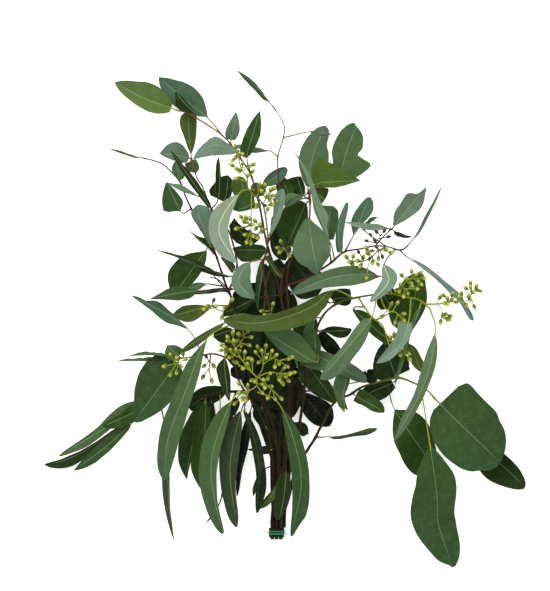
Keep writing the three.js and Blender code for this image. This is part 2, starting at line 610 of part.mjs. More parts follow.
function spraySolid({ on, rise, spread, stalks, buds }) {
  const carriers = stemRoutes[on];
  const routes = routesOf(stalks, carriers);
  const joints = jointsOf(routes);
  const solids = routes.map((route, i) => twigSolid(route, stalks[i][0], stalks[i][1], 4));
  buds.forEach((bud, number) => {
    const { point, before } = nearestJoint(joints, bud);
    const draw = (golden * number) % 1;
    const root = point.clone().lerp(before, (umbelLength * draw) / point.distanceTo(before));
    solids.push(budSolid(root, place(bud).setZ(point.z + rise + spread * (2 * draw - 1))));
  });
  const clearance = carriers.map((route, i) => {
    const [startRadius, endRadius] = stems[on].twigs[i];
    return twigSolid(route, startRadius + seatGap, endRadius + seatGap);
  });
  return union(solids).subtract(union(clearance));
}

// A ring round the tied stems: its opening clears them, and its walls have one thickness.
function ringGeometry(clearance, thickness, length) {
  const openingWidth = 2 * (stemSpacing + stemRadius + clearance);
  const openingHeight = highRowHeight - lowRowHeight + 2 * (stemRadius + clearance);
  const cornerSegments = 2;
  const outline = (Path, grow) => {
    const w = openingWidth / 2 + grow;
    const h = openingHeight / 2 + grow;
    const r = stemRadius + clearance + grow;
    const path = new Path();
    path.absarc(w - r, h - r, r, 0, Math.PI / 2);
    path.absarc(r - w, h - r, r, Math.PI / 2, Math.PI);
    path.absarc(r - w, r - h, r, Math.PI, 1.5 * Math.PI);
    path.absarc(w - r, r - h, r, 1.5 * Math.PI, 2 * Math.PI);
    return path;
  };
  const shape = outline(THREE.Shape, thickness);
  shape.holes.push(outline(THREE.Path, 0));
  const options = { depth: length, bevelEnabled: false, curveSegments: cornerSegments };
  return new THREE.ExtrudeGeometry(shape, options).translate(0, 0, -length / 2);
}

function add(group, name, geometry, colour, roughness) {
  const material = new THREE.MeshStandardMaterial({ color: colour, roughness, metalness: 0 });
  const mesh = new THREE.Mesh(geometry, material);
  mesh.name = name;
  group.add(mesh);
  return mesh;
}

function addTie(group) {
  const bandLength = 9.5;
  const strandLength = 1.7;
  const strandOffsets = [-1.2, 1.3];
  const height = (lowRowHeight + highRowHeight) / 2;
  const standAt = (mesh, down) => {
    mesh.position.copy(place([middleStemAcross, down, height]));
    mesh.rotation.x = Math.PI / 2;
  };
  const band = ringGeometry(tieClearance, bandThickness, bandLength);
  standAt(add(group, "tie_band", band, bandColour, 0.6), tieDown);
  strandOffsets.forEach((offset, i) => {
    const clearance = tieClearance + bandThickness + seatGap;
    const strand = ringGeometry(clearance, strandThickness, strandLength);
    standAt(add(group, `green_strand_${i + 1}`, strand, strandColour, 0.45), tieDown + offset);
  });
}

const stemRoutes = Object.fromEntries(
  Object.entries(stems).map(([name, { twigs }]) => [name, routesOf(twigs)]),
);

const bunch = new THREE.Group();
for (const [name, stem] of Object.entries(stems)) {
  add(bunch, name, geometryOf(stemSolid(stem, stemRoutes[name])), stem.colour, 0.6);
}
for (const [name, spray] of Object.entries(sprays)) {
  add(bunch, name, geometryOf(spraySolid(spray)), budColour, 0.5);
}
addTie(bunch);

export default bunch;
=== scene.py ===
import math

import bpy
import numpy as np
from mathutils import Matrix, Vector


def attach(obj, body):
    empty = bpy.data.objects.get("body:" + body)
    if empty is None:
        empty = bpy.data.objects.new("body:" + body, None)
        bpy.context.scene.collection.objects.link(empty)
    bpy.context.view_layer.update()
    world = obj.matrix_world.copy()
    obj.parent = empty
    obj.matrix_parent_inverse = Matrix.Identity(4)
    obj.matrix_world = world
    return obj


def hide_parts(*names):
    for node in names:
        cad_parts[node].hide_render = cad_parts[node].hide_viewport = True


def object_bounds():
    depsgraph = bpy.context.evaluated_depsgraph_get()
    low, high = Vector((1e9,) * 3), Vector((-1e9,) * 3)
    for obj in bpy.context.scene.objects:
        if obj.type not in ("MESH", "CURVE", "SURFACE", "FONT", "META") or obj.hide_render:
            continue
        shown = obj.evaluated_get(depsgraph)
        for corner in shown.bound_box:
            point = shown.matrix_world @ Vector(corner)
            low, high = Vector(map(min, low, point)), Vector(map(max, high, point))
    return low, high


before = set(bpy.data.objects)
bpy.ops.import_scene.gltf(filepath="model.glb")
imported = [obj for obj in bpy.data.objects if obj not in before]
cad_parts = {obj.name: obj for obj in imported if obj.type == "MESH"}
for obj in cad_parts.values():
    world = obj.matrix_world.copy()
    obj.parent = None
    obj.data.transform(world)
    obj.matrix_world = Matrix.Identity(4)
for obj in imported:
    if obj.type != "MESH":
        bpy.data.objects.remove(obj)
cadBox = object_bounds()
print("frame loaded,", len(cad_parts), "CAD nodes")

# Places are [across, down, height] in millimetres, as in the part's source: across from the left and
# down from the top as the bunch is seen from above, with height over the surface it lies on.
bunch = {
    "middleAcross": 285,
    "middleDown": 319.5,
    "golden": 0.618034,  # spreads waves and heights evenly
    "searchSteps": 160,  # how finely a twig is searched for the place where a leaf joins it
    "travelSteps": 200,  # how finely a curve's length is measured
    "cutEndDown": 540.5,
    "throughTie": (527, 520),  # how far down the stems run straight through the tie
    "leftStem": 276.5 - 4.35,
    "middleStem": 276.5,
    "rightStem": 276.5 + 4.35,
    "lowRow": 5.0,
    "highRow": 9.4,
}


def stemFoot(across, height):
    return [[across, down, height] for down in (bunch["cutEndDown"], *bunch["throughTie"])]


# Colours as they look on a screen, 0 to 255.
leafTones = {
    "fresh": (92, 124, 68),
    "bright": (72, 100, 40),
    "sage": (88, 118, 90),
    "light": (105, 144, 110),
    "mid": (74, 106, 70),
    "moss": (54, 86, 50),
    "teal": (72, 108, 90),
    "grey": (98, 127, 111),
    "pale": (122, 152, 142),
    "silver": (114, 144, 147),
    "frost": (144, 166, 155),
    "slate": (54, 74, 50),
    "olive": (72, 94, 42),
    "deep": (46, 76, 30),
    # dark, ink and night are leaf green with painted shade added, for leaves deep in the bunch where
    # shade falls on them.
    "dark": (32, 54, 18),
    "ink": (24, 42, 18),
    "night": (12, 20, 8),
    "brown": (72, 52, 34),
}
twigTones = {
    "old": (38, 18, 12),
    "red": (86, 40, 32),
    "orange": (128, 82, 34),
    "rose": (98, 62, 54),
    "lime": (150, 166, 34),
    "yellow": (174, 176, 48),
    "shade": (52, 44, 26),
    "amber": (134, 112, 42),
}

# A twig is [radius at its start, radius at its end, tone at its start, tone at its end, points...]. The
# first is the stem's main axis. Each later one starts on the nearest twig before it.
# A leaf is [shape, width, tilt in degrees, tone, place on the twig, base of the blade, ..., tip].
stems = {}
stems["top_left"] = {
    "twigs": [
        [2.0, 0.8, "old", "amber", *stemFoot(bunch["rightStem"], bunch["highRow"]),
         [282, 500, 15], [284, 470, 23], [286, 440, 30], [289, 400, 40], [288, 345, 50],
         [284, 315, 55], [279, 290, 58], [276, 277, 60], [266, 240, 66], [260, 208, 66],
         [256, 192, 65], [250, 173, 62], [240, 158, 58], [228, 141, 54], [215, 130, 50],
         [198, 119, 46], [185, 112, 42], [176, 110, 40]],
        [1.0, 0.6, "red", "rose", [268, 246], [275, 224, 68], [280, 200, 67], [278, 172, 64],
         [278, 156, 62], [283, 139, 60], [284, 125, 57], [273, 106, 52]],
    ],
    "leaves": [
        ["lance", 23, 8, "fresh", [178, 110], [171, 108, 41], [142, 97, 40], [114, 82, 30]],
        ["lance", 28, -12, "teal", [222, 135], [208, 118, 42], [182, 97, 25], [158, 76, 0]],
        ["lance", 11, 20, "dark", [197, 118], [195, 114, 50], [186, 103, 56], [175, 92, 58]],
        ["oval", 20, -25, "pale", [241, 159], [237, 152, 66], [214, 146, 75], [192, 158, 76]],
        ["oval", 15, 10, "grey", [231, 145], [231, 140, 58], [234, 126, 64], [236, 112, 64]],
        ["oval", 15, -20, "deep", [252, 178], [247, 158, 72], [253, 135, 80], [260, 111, 80]],
        ["lance", 10, 35, "grey", [278, 157], [270, 151, 57], [254, 148, 50], [236, 147, 46]],
        ["lance", 17, 50, "slate", [275, 109], [270, 103, 52], [258, 88, 49], [237, 70, 40]],
        ["lance", 9, 70, "grey", [284, 138], [309, 132, 64], [321, 134, 66], [332, 134, 64]],
        ["lance", 14, 5, "teal", [256, 191], [262, 186, 59], [275, 177, 53], [287, 168, 46]],
        ["oval", 17, -10, "deep", [280, 203], [289, 200, 54], [285, 185, 46], [277, 171, 41]],
        ["sickle", 13, 15, "pale", [267, 243], [268, 236, 76], [278, 213, 90], [283, 189, 93]],
        ["oval", 22, 12, "moss", [259, 206], [255, 204, 71], [245, 208, 76], [234, 212, 77]],
        ["oval", 18, 0, "mid", [258, 200], [259, 196, 56], [258, 189, 52], [256, 182, 50]],
        ["oval", 14, 0, "olive", [257, 196], [246, 198, 55], [243, 187, 49], [240, 176, 46]],
        ["oval", 22, 15, "grey", [271, 259], [251, 262, 84], [239, 281, 92], [254, 299, 90]],
        ["lance", 20, -10, "deep", [270, 253], [267, 251, 58], [252, 250, 53], [232, 250, 50]],
        ["sickle", 9, 25, "moss", [271, 258], [265, 259, 67], [262, 285, 68], [258, 311, 66]],
        ["sickle", 7, 40, "deep", [268, 248], [267, 256, 76], [273, 267, 84], [282, 279, 86]],
        ["lance", 15, 0, "dark", [280, 296], [258, 298, 52], [240, 306, 46], [222, 314, 40]],
        ["sickle", 21, -10, "frost", [255, 190], [239, 194, 84], [219, 229, 98], [237, 263, 92]],
        ["lance", 16, 15, "dark", [284, 466], [286, 473, 40], [284, 497, 45], [279, 521, 38]],
    ],
}
stems["left"] = {
    "twigs": [
        [2.0, 0.8, "old", "red", *stemFoot(bunch["middleStem"], bunch["highRow"]),
         [278.5, 500, 18], [279, 470, 27], [277, 450, 34], [275, 435, 38], [270, 415, 43],
         [262, 400, 47], [253, 385, 51], [245, 355, 57], [239, 325, 62], [233, 302, 65],
         [226, 285, 68], [217, 258, 70], [212, 245, 70], [200, 225, 68], [193, 212, 66],
         [185, 195, 62], [180, 182, 58], [165, 166, 52], [155, 161, 50], [143, 158, 48]],
        [1.1, 0.7, "red", "orange", [229, 291], [237, 268, 66], [232, 240, 64], [225, 225, 64],
         [212, 210, 62], [203, 188, 58], [197, 178, 56], [193, 165, 54], [191, 157, 54]],
        [0.7, 0.6, "shade", "red", [231, 296], [221, 284, 66], [211, 272, 68]],
        [0.7, 0.6, "shade", "red", [228, 288], [219, 280, 62], [210, 277, 62]],
    ],
    "leaves": [
        ["spoon", 18, 0, "olive", [192, 160], [191, 155, 48], [189, 133, 36], [188, 111, 22]],
        ["oval", 19, 8, "grey", [192, 160], [189, 158, 57], [175, 155, 63], [159, 154, 63]],
        ["oval", 20, 0, "sage", [192, 160], [191, 161, 46], [194, 167, 42], [196, 174, 40]],
        ["oval", 14, -20, "mid", [180, 183], [180, 180, 62], [178, 171, 66], [176, 161, 66]],
        ["lance", 8, 35, "dark", [211, 210], [210, 207, 72], [192, 181, 80], [171, 151, 80]],
        ["oval", 24, 5, "moss", [191, 208], [182, 213, 58], [174, 198, 55], [166, 182, 50]],
        ["sickle", 8, 30, "grey", [206, 197], [200, 197, 66], [183, 190, 72], [166, 183, 74]],
        ["lance", 16, 50, "slate", [145, 159], [140, 157, 48], [125, 152, 50], [108, 149, 46]],
        ["oval", 20, -15, "grey", [213, 247], [210, 245, 77], [202, 226, 85], [197, 205, 87]],
        ["lance", 12, 70, "dark", [223, 276], [218, 274, 76], [190, 262, 84], [156, 250, 84]],
        ["broad", 33, 8, "deep", [212, 246], [206, 250, 60], [190, 273, 52], [172, 297, 38]],
        ["lance", 13, 20, "moss", [229, 291], [198, 291, 80], [174, 294, 86], [150, 299, 84]],
        ["lance", 18, 12, "olive", [234, 305], [211, 306, 70], [192, 311, 62], [173, 316, 52]],
        ["sickle", 22, 8, "mid", [238, 321], [207, 339, 84], [187, 388, 92], [168, 440, 80],
         [165, 480, 66]],
        ["lance", 17, -18, "olive", [239, 326], [226, 322, 73], [201, 338, 78], [178, 352, 74]],
        ["oval", 16, 0, "dark", [215, 213], [224, 202, 54], [227, 189, 48], [228, 175, 44]],
        ["sickle", 7, 30, "dark", [212, 209], [218, 200, 67], [220, 178, 75], [219, 157, 76]],
        ["oval", 12, 0, "slate", [237, 268], [234, 270, 58], [228, 264, 54], [221, 257, 52]],
        ["oval", 16, 0, "dark", [240, 329], [232, 330, 52], [222, 333, 48], [213, 337, 46]],
        ["sickle", 8, 20, "olive", [279, 472], [280, 479, 38], [272, 495, 41], [260, 509, 38]],
        ["sickle", 19, -8, "moss", [256, 390], [281, 407, 62], [301, 475, 66], [291, 537, 46]],
    ],
}
stems["top_right"] = {
    "twigs": [
        [2.0, 0.9, "old", "orange", *stemFoot(bunch["leftStem"], bunch["lowRow"]),
         [277, 500, 9], [283, 470, 14], [288, 440, 20], [292, 400, 28], [291, 345, 38],
         [288, 305, 45], [287, 285, 48], [289, 265, 52], [298, 243, 57], [308, 225, 60],
         [310, 205, 58], [309, 190, 55]],
        [1.2, 0.8, "red", "shade", [287, 285], [303, 280, 54], [320, 270, 61], [332, 262, 66],
         [344, 252, 71], [360, 249, 73], [375, 246, 72], [388, 247, 68], [398, 250, 64],
         [404, 249, 62]],
        [0.8, 0.7, "shade", "red", [375, 246], [380, 240, 75], [391, 229, 76]],
        [0.7, 0.6, "shade", "shade", [386, 247], [372, 237, 70], [362, 229, 70]],
        [1.2, 1.0, "red", "red", [291, 345], [284, 318, 50], [281, 292, 56], [283, 268, 60]],
    ],
    "leaves": [
        ["broad", 30, -5, "sage", [309, 191], [308, 186, 54], [312, 160, 42], [318, 143, 26],
         [326, 125, 0]],
        ["broad", 36, 5, "mid", [309, 192], [337, 177, 62], [347, 150, 56], [357, 123, 40]],
        ["lance", 29, -10, "bright", [309, 191], [314, 185, 68], [336, 182, 76], [360, 181, 72]],
        ["sickle", 12, 20, "grey", [334, 260], [331, 245, 84], [323, 225, 95], [314, 203, 99],
         [303, 175, 97], [291, 148, 88]],
        ["oval", 13, 10, "light", [309, 198], [303, 199, 64], [293, 202, 70], [284, 206, 72]],
        ["oval", 16, 0, "dark", [309, 200], [303, 195, 51], [300, 186, 44], [297, 176, 40]],
        ["oval", 28, 5, "deep", [309, 201], [306, 204, 52], [296, 226, 44], [285, 250, 38]],
        ["lance", 12, 65, "mid", [309, 193], [305, 195, 68], [295, 201, 79], [283, 210, 82]],
        ["oval", 37, 0, "sage", [308, 223], [309, 219, 70], [312, 245, 90], [318, 274, 86]],
        ["sickle", 14, 12, "teal", [341, 256], [340, 252, 80], [338, 228, 87], [346, 202, 85]],
        ["oval", 20, 0, "mid", [331, 262], [328, 240, 57], [329, 223, 50], [331, 206, 46]],
        ["oval", 21, -12, "teal", [345, 252], [353, 236, 76], [361, 217, 74], [369, 197, 66]],
        ["lance", 8, 60, "mid", [364, 231], [366, 224, 74], [371, 219, 77], [378, 217, 76]],
        ["sickle", 9, 20, "pale", [391, 229], [387, 229, 80], [365, 229, 87], [343, 222, 86]],
        ["oval", 23, 12, "grey", [391, 229], [394, 226, 75], [410, 206, 77], [426, 187, 67]],
        ["sickle", 8, 30, "teal", [404, 249], [412, 240, 67], [429, 213, 77], [442, 185, 77]],
        ["lance", 10, 65, "dark", [391, 229], [394, 231, 68], [403, 235, 63], [412, 237, 56]],
        ["sickle", 12, 15, "silver", [400, 250], [407, 257, 58], [430, 271, 53], [450, 285, 47],
         [462, 301, 40], [473, 321, 30]],
        ["sickle", 18, -10, "pale", [395, 249], [384, 264, 86], [388, 282, 96], [370, 302, 92]],
        ["lance", 18, 10, "sage", [291, 345], [297, 347, 46], [330, 362, 52], [367, 382, 48]],
        ["oval", 14, 0, "ink", [290, 421], [293, 421, 17], [301, 427, 12], [309, 434, 9]],
    ],
}
stems["right"] = {
    "twigs": [
        [2.0, 0.9, "old", "lime", *stemFoot(bunch["middleStem"], bunch["lowRow"]),
         [283, 500, 8], [290, 470, 13], [297, 440, 20], [303, 400, 30], [307, 360, 40],
         [316, 330, 50], [325, 313, 57], [338, 303, 62], [350, 299, 65], [372, 295, 68],
         [392, 294, 70], [405, 297, 70], [419, 300, 68], [430, 309, 64]],
        [1.0, 0.7, "lime", "lime", [357, 297], [365, 308, 62], [372, 317, 62], [382, 325, 60],
         [386, 335, 58], [389, 345, 56]],
    ],
    "leaves": [
        ["lance", 20, 8, "sage", [392, 294], [380, 276, 84], [335, 277, 104], [290, 294, 108]],
        ["lance", 22, -5, "olive", [354, 298], [333, 290, 92], [317, 303, 104], [300, 312, 112],
         [275, 320, 116], [250, 323, 114], [224, 319, 106]],
        ["lance", 18, -12, "mid", [313, 338], [317, 362, 67], [290, 347, 74], [264, 331, 75]],
        ["lance", 19, 10, "sage", [376, 295], [371, 318, 84], [346, 349, 92], [320, 379, 80]],
        ["sickle", 15, -12, "pale", [411, 298], [408, 322, 84], [399, 345, 92], [376, 363, 86]],
        ["sickle", 8, 30, "mid", [421, 301], [420, 306, 66], [411, 335, 66], [395, 386, 56]],
        ["broad", 40, 5, "deep", [387, 337], [404, 334, 50], [413, 303, 46], [421, 272, 38]],
        ["oval", 20, 0, "dark", [376, 320], [391, 311, 55], [386, 299, 51], [380, 286, 50]],
        ["lance", 15, 0, "deep", [364, 307], [354, 309, 56], [373, 327, 50], [395, 345, 44]],
        ["lance", 16, -10, "sage", [430, 309], [435, 333, 78], [424, 383, 84], [393, 442, 66]],
        ["lance", 12, 15, "dark", [316, 330], [321, 331, 47], [337, 331, 45], [352, 330, 40]],
        ["oval", 18, 0, "night", [315, 333], [320, 332, 38], [331, 342, 32], [342, 353, 26]],
        ["oval", 18, 10, "moss", [322, 318], [314, 320, 66], [315, 336, 72], [316, 354, 70]],
        ["broad", 36, 0, "deep", [307, 360], [298, 353, 30], [317, 378, 19], [336, 404, 5]],
        ["oval", 32, 0, "night", [303, 400], [301, 393, 22], [315, 409, 13], [330, 427, 4]],
        ["oval", 13, -15, "olive", [389, 345], [408, 343, 60], [415, 357, 64], [422, 373, 62]],
    ],
}
stems["lower_right"] = {
    "twigs": [
        [2.0, 1.0, "old", "lime", *stemFoot(bunch["rightStem"], bunch["lowRow"]),
         [288, 500, 6], [296, 470, 8], [308, 450, 10], [315, 439, 12], [321, 427, 14],
         [335, 402, 20], [350, 395, 24], [363, 387, 28], [388, 380, 34], [400, 378, 36],
         [416, 384, 38], [427, 390, 40], [436, 400, 42]],
    ],
    "leaves": [
        ["oval", 38, 0, "dark", [398, 378], [396, 376, 28], [390, 360, 20], [384, 342, 12]],
        ["oval", 20, 0, "dark", [398, 378], [393, 383, 27], [377, 390, 19], [360, 398, 14]],
        ["broad", 72, 0, "moss", [435, 399], [440, 404, 44], [456, 420, 50], [475, 438, 46],
         [501, 463, 30]],
        ["flat", 28, 0, "dark", [434, 397], [472, 435, 3], [486, 449, 0.7], [500, 463, 0.7],
         [527, 488, 0.7]],
        ["broad", 38, 5, "deep", [388, 380], [394, 408, 32], [415, 440, 28], [436, 470, 16]],
        ["lance", 45, -5, "moss", [421, 387], [430, 446, 62], [437, 495, 42], [439, 525, 22],
         [454, 569, 2]],
        ["oval", 16, -10, "deep", [352, 394], [356, 396, 32], [370, 404, 36], [385, 412, 34]],
        ["oval", 18, 8, "mid", [340, 400], [345, 409, 34], [346, 388, 44], [345, 366, 46]],
        ["sickle", 8, 25, "slate", [316, 438], [328, 437, 18], [353, 433, 24], [378, 429, 24]],
    ],
}
stems["lower_left"] = {
    "twigs": [
        [2.0, 0.9, "old", "red", *stemFoot(bunch["leftStem"], bunch["highRow"]),
         [273.5, 500, 18], [274, 470, 27], [272, 450, 33], [269, 433, 37], [263, 417, 41],
         [254, 403, 44], [245, 392, 46], [238, 378, 50], [235, 362, 54], [232, 345, 58]],
        [1.4, 0.8, "old", "shade", [245, 392], [228, 392, 44], [207, 396, 40], [185, 399, 36],
         [160, 402, 32], [148, 408, 28], [134, 420, 24]],
        [1.1, 0.7, "red", "lime", [235, 361], [215, 354, 58], [198, 356, 60], [181, 358, 60],
         [170, 358, 58]],
    ],
    "leaves": [
        ["sickle", 15, 25, "teal", [203, 355], [188, 329, 64], [160, 310, 74], [132, 296, 76]],
        ["oval", 16, 0, "mid", [181, 358], [179, 356, 65], [173, 351, 67], [167, 344, 66]],
        ["lance", 15, 78, "mid", [171, 358], [167, 356, 63], [148, 355, 64], [128, 356, 60]],
        ["lance", 15, 76, "mid", [171, 358], [166, 361, 54], [143, 361, 52], [117, 361, 44]],
        ["broad", 47, 6, "moss", [181, 358], [177, 363, 55], [156, 392, 58], [134, 422, 48]],
        ["lance", 15, 8, "mid", [150, 406], [146, 403, 26], [102, 430, 20], [58, 457, 10]],
        ["lance", 18, -10, "deep", [141, 414], [136, 412, 34], [120, 419, 36], [102, 427, 34]],
        ["lance", 10, 15, "dark", [135, 419], [128, 424, 20], [86, 446, 12], [43, 466, 0]],
        ["lance", 15, -15, "moss", [136, 418], [131, 424, 26], [103, 449, 24], [73, 471, 16]],
        ["sickle", 8, 20, "slate", [160, 402], [164, 425, 34], [168, 485, 24], [174, 542, 12]],
        ["sickle", 15, 10, "deep", [207, 396], [205, 401, 33], [196, 440, 30], [187, 480, 22]],
        ["lance", 13, -12, "deep", [206, 396], [206, 402, 46], [204, 445, 48], [200, 488, 40]],
        ["lance", 16, 0, "dark", [213, 395], [211, 402, 32], [206, 432, 24], [199, 462, 18]],
        ["sickle", 19, -8, "mid", [245, 392], [231, 402, 60], [211, 465, 66], [223, 534, 48]],
        ["sickle", 18, 10, "slate", [250, 398], [241, 412, 44], [230, 468, 46], [237, 528, 30]],
        ["lance", 13, 0, "night", [254, 403], [251, 409, 36], [244, 452, 28], [237, 497, 18]],
        ["sickle", 13, 12, "ink", [250, 398], [245, 410, 54], [258, 455, 58], [257, 514, 44]],
        ["lance", 9, 20, "night", [268, 431], [266, 427, 48], [261, 416, 54], [255, 404, 56]],
        ["sickle", 6, 20, "ink", [273, 466], [263, 471, 30], [258, 484, 30], [254, 497, 28]],
        ["lance", 9, 15, "ink", [273, 450], [271, 450, 40], [257, 450, 42], [247, 449, 40]],
        ["sickle", 13, 15, "dark", [235, 355], [225, 358, 60], [226, 380, 64], [229, 401, 60]],
        ["sickle", 6, 20, "brown", [220, 394], [220, 401, 34], [221, 470, 22], [205, 525, 12]],
    ],
}

# Outlines of the blades as the bunch is seen from above, [across, down, across, down, ...] round each
# blade, under the number of the leaf in its stem's list.
outlines = {}
outlines["top_left"] = {
    0: [175, 109, 171, 101, 165, 93, 160, 88, 153, 84, 147, 82, 140, 81.5, 135, 82, 128, 80.5, 121, 80.5,
        114, 82, 117, 88, 122, 94, 130, 101, 138, 107, 147, 112, 156, 114, 164, 113.5, 171, 111.5],
    1: [207.5, 117, 207, 110, 205, 101, 202, 94, 197, 88, 190, 84, 182, 81, 174, 79, 168, 77, 158, 76,
        159, 83, 164, 92, 170, 100, 176, 107, 186, 113, 197, 116.5],
    2: [175, 91, 182, 97, 188, 104, 196, 114, 188, 114, 181, 111, 175, 108, 175, 100],
    3: [193, 160, 196, 152, 200, 147, 206, 142, 212, 136, 216, 134.5, 221, 138, 227, 142, 232, 146,
        238, 150, 236, 154, 228, 155, 215, 154.5, 205, 156.5],
    4: [231, 145, 228, 140, 224, 134, 227, 126, 231, 119, 236, 112, 238, 116, 239.5, 124, 240, 132,
        236, 139],
    5: [248, 158, 241, 157, 240, 150, 242, 144, 247, 131, 252, 121, 259.5, 111.5, 261, 115, 262, 124,
        262, 132, 259, 142, 254, 151],
    6: [270, 151, 262, 149, 254, 147.5, 245, 144.5, 236, 145, 238, 149, 245, 152, 254, 154, 260, 153],
    7: [271, 103, 264, 95, 259, 88, 251, 80, 243, 73.5, 237, 70, 240, 76, 247, 83, 254, 91.5, 260.5, 99],
    9: [262, 184, 264, 179, 268, 174, 274, 170, 281, 167, 287, 167, 288, 171, 285, 177, 281, 182,
        274, 186, 266, 187],
    10: [289, 201, 282, 199, 277, 192, 276, 183, 276, 171, 282, 175, 289, 180, 295, 190, 294, 198],
    11: [267.5, 240, 270, 231, 272, 222, 273, 212, 273, 200, 276, 193, 280, 189.5, 284, 189.5, 285, 197,
         284, 206, 281, 215, 277, 225, 272, 234],
    12: [262, 205, 258, 196, 253, 190, 246, 191, 238, 197, 232, 206, 236, 213, 243, 212, 252, 210,
         260, 209],
    13: [250, 186, 255, 182, 262, 184, 266, 189, 265, 196, 258, 199, 252, 194],
    14: [245, 198, 249, 190, 248, 182, 243, 177, 237, 176, 232, 180, 231, 188, 234, 197, 240, 200],
    15: [250, 263, 251, 272, 251, 282, 253, 290, 256, 295, 254, 299, 247, 298, 241, 296, 235, 290,
         232, 284, 232, 277, 235, 271, 240, 266, 245, 263],
    16: [266, 246, 266, 252, 263, 257, 257, 262, 249, 261, 241, 262, 237, 257, 234, 252, 233, 247.5,
         240, 245.5, 248, 243.5, 257, 243.5],
    17: [265, 257, 264, 268, 263, 278, 261, 288, 259, 300, 258, 311, 256, 303, 256, 292, 256, 280,
         258, 268, 261, 260],
    18: [266, 250, 270, 257, 275, 264, 280, 272, 284, 279, 280, 278, 274, 271, 269, 264, 264, 256,
         263, 252],
    19: [258, 300, 250, 298, 242, 296, 235, 298, 229, 304, 224, 311, 222, 317, 230, 316, 238, 313,
         246, 309, 252, 303],
    20: [240, 194, 237, 200, 234, 207, 231, 214, 228.5, 222, 228, 231, 229, 240, 231, 248, 234, 255,
         237.5, 263, 234, 263, 228, 261, 220, 256, 214, 249, 210, 240, 208, 231, 208.5, 222, 211, 213,
         217, 206, 224, 201, 232, 197],
    21: [287, 470, 282, 474, 277, 481, 276, 490, 275, 500, 274.5, 510, 275, 518, 278, 522, 281, 518,
         284, 511, 288, 504, 290, 496, 291.5, 489, 291, 479],
}
outlines["left"] = {
    0: [191, 155, 187, 147, 185, 140, 181, 131, 179, 124, 180, 117, 183, 113, 189, 110.5, 195, 114,
        197, 122, 196.5, 130, 196, 140, 194, 148],
    1: [160, 154, 163, 149, 168, 144, 175, 141.5, 181, 144, 186, 150, 190, 156, 188, 162, 181, 164,
        173, 161, 165, 158],
    2: [187, 157, 184, 163, 186, 169, 190, 172, 196, 173, 200, 168.5, 198, 162, 194, 157],
    3: [180.5, 183, 176, 177, 172.5, 171, 172.5, 166, 175, 161, 179, 160, 184, 165, 187, 172, 184, 178],
    4: [171, 151, 176, 155, 182, 164, 190, 173, 198, 184, 205, 194, 211, 204, 212, 209, 208, 208,
        201, 200, 192, 188, 184, 176, 177, 165, 173, 157],
    5: [166, 182, 164, 188, 162, 197, 162, 207, 164, 214, 168, 217, 172, 216, 177, 211, 183, 208,
        184, 202, 179, 195, 173, 188],
    6: [200, 197, 194, 193, 187, 189, 181, 184.5, 173, 184, 167, 182.5, 172, 187, 179, 191, 187, 194],
    7: [140, 158, 134, 155.3, 128, 154, 121, 151, 114, 149.4, 108, 148, 113, 151, 121, 153.8, 128, 156.6,
        134, 158.4],
    8: [212, 249, 207, 241, 202, 232, 198, 224, 192, 217, 191, 212, 195, 207, 201, 204.5, 208, 206,
        214, 212, 218, 222, 219, 234, 216, 243],
    9: [218, 275, 210, 271, 204, 269, 190, 263, 176, 259, 165, 254, 155, 250, 163, 256, 174, 263,
        190, 270, 204, 273, 212, 276],
    10: [207, 250.5, 207, 258, 205, 267, 200, 276, 194, 283, 187, 289, 180, 294, 172, 298, 169, 294,
         170, 286, 168.5, 278, 169, 272, 173, 265, 178, 259, 185, 254.5, 193, 252, 200, 251.5],
    11: [198, 291, 190, 288, 180, 287, 170, 288, 165, 290.5, 158, 295, 149, 299.5, 158, 299.5, 168, 300.5,
         178, 301.5, 186, 300, 192, 298],
    12: [212, 307, 206, 306, 200, 304.5, 191, 305, 184, 306, 178, 309, 172.5, 314.5, 179, 319, 185, 322.5,
         191, 322.5, 198, 320, 203, 316, 208, 311],
    13: [208, 338, 203, 343, 197, 350, 190, 358, 185, 367, 181, 377, 177, 387, 173, 397, 169, 407,
         165, 416, 162, 426, 160, 436, 158.5, 446, 157.5, 456, 158, 466, 160, 474, 163, 479, 165.5, 481,
         168, 479, 169.5, 475, 172, 466, 175, 457, 178, 446, 181, 436, 185, 425, 188, 414, 191, 403,
         195, 391, 198, 380, 201, 370, 203, 358, 205, 348],
    14: [226, 322, 217, 325, 208, 330, 200, 334, 192, 340, 185, 346, 178, 352.5, 185, 352, 192, 349,
         198, 345, 205, 340, 212, 335, 220, 329],
    15: [225, 203, 216, 200, 210, 195, 208, 192, 213, 185, 217, 180, 221, 176.5, 227, 175, 233, 179,
         233, 190, 231, 198],
    16: [218, 200, 215, 192, 215, 182, 215, 172, 216.5, 162, 218.5, 156.5, 220, 163, 220.5, 173, 221, 183,
         221.5, 193],
    17: [235, 276, 230, 271, 225, 264, 220, 257, 222, 256, 228, 258, 234, 263, 237, 270],
    18: [234, 330, 230, 327, 223, 326.5, 217, 329, 213, 334, 215, 339, 219, 342, 225, 344, 229, 341,
         233, 337],
    19: [280, 479, 275, 487, 270, 493, 265, 498, 262, 503, 260, 509.5, 266, 507.5, 271, 504, 275, 499,
         278, 492, 281, 485],
    20: [281, 406, 286, 412, 291, 418, 296, 426, 300, 435, 303, 444, 305.5, 453, 307.5, 462, 309, 471,
         309.5, 482, 309.5, 493, 309, 503, 307, 512, 305, 518, 302.5, 519, 301.5, 522, 299, 525, 296, 531,
         293, 536, 290.5, 537.5, 290, 531, 291, 521, 292, 511, 292, 500, 292, 489, 291.5, 478, 290, 466,
         289, 455, 287, 444, 285, 433, 283, 421],
}
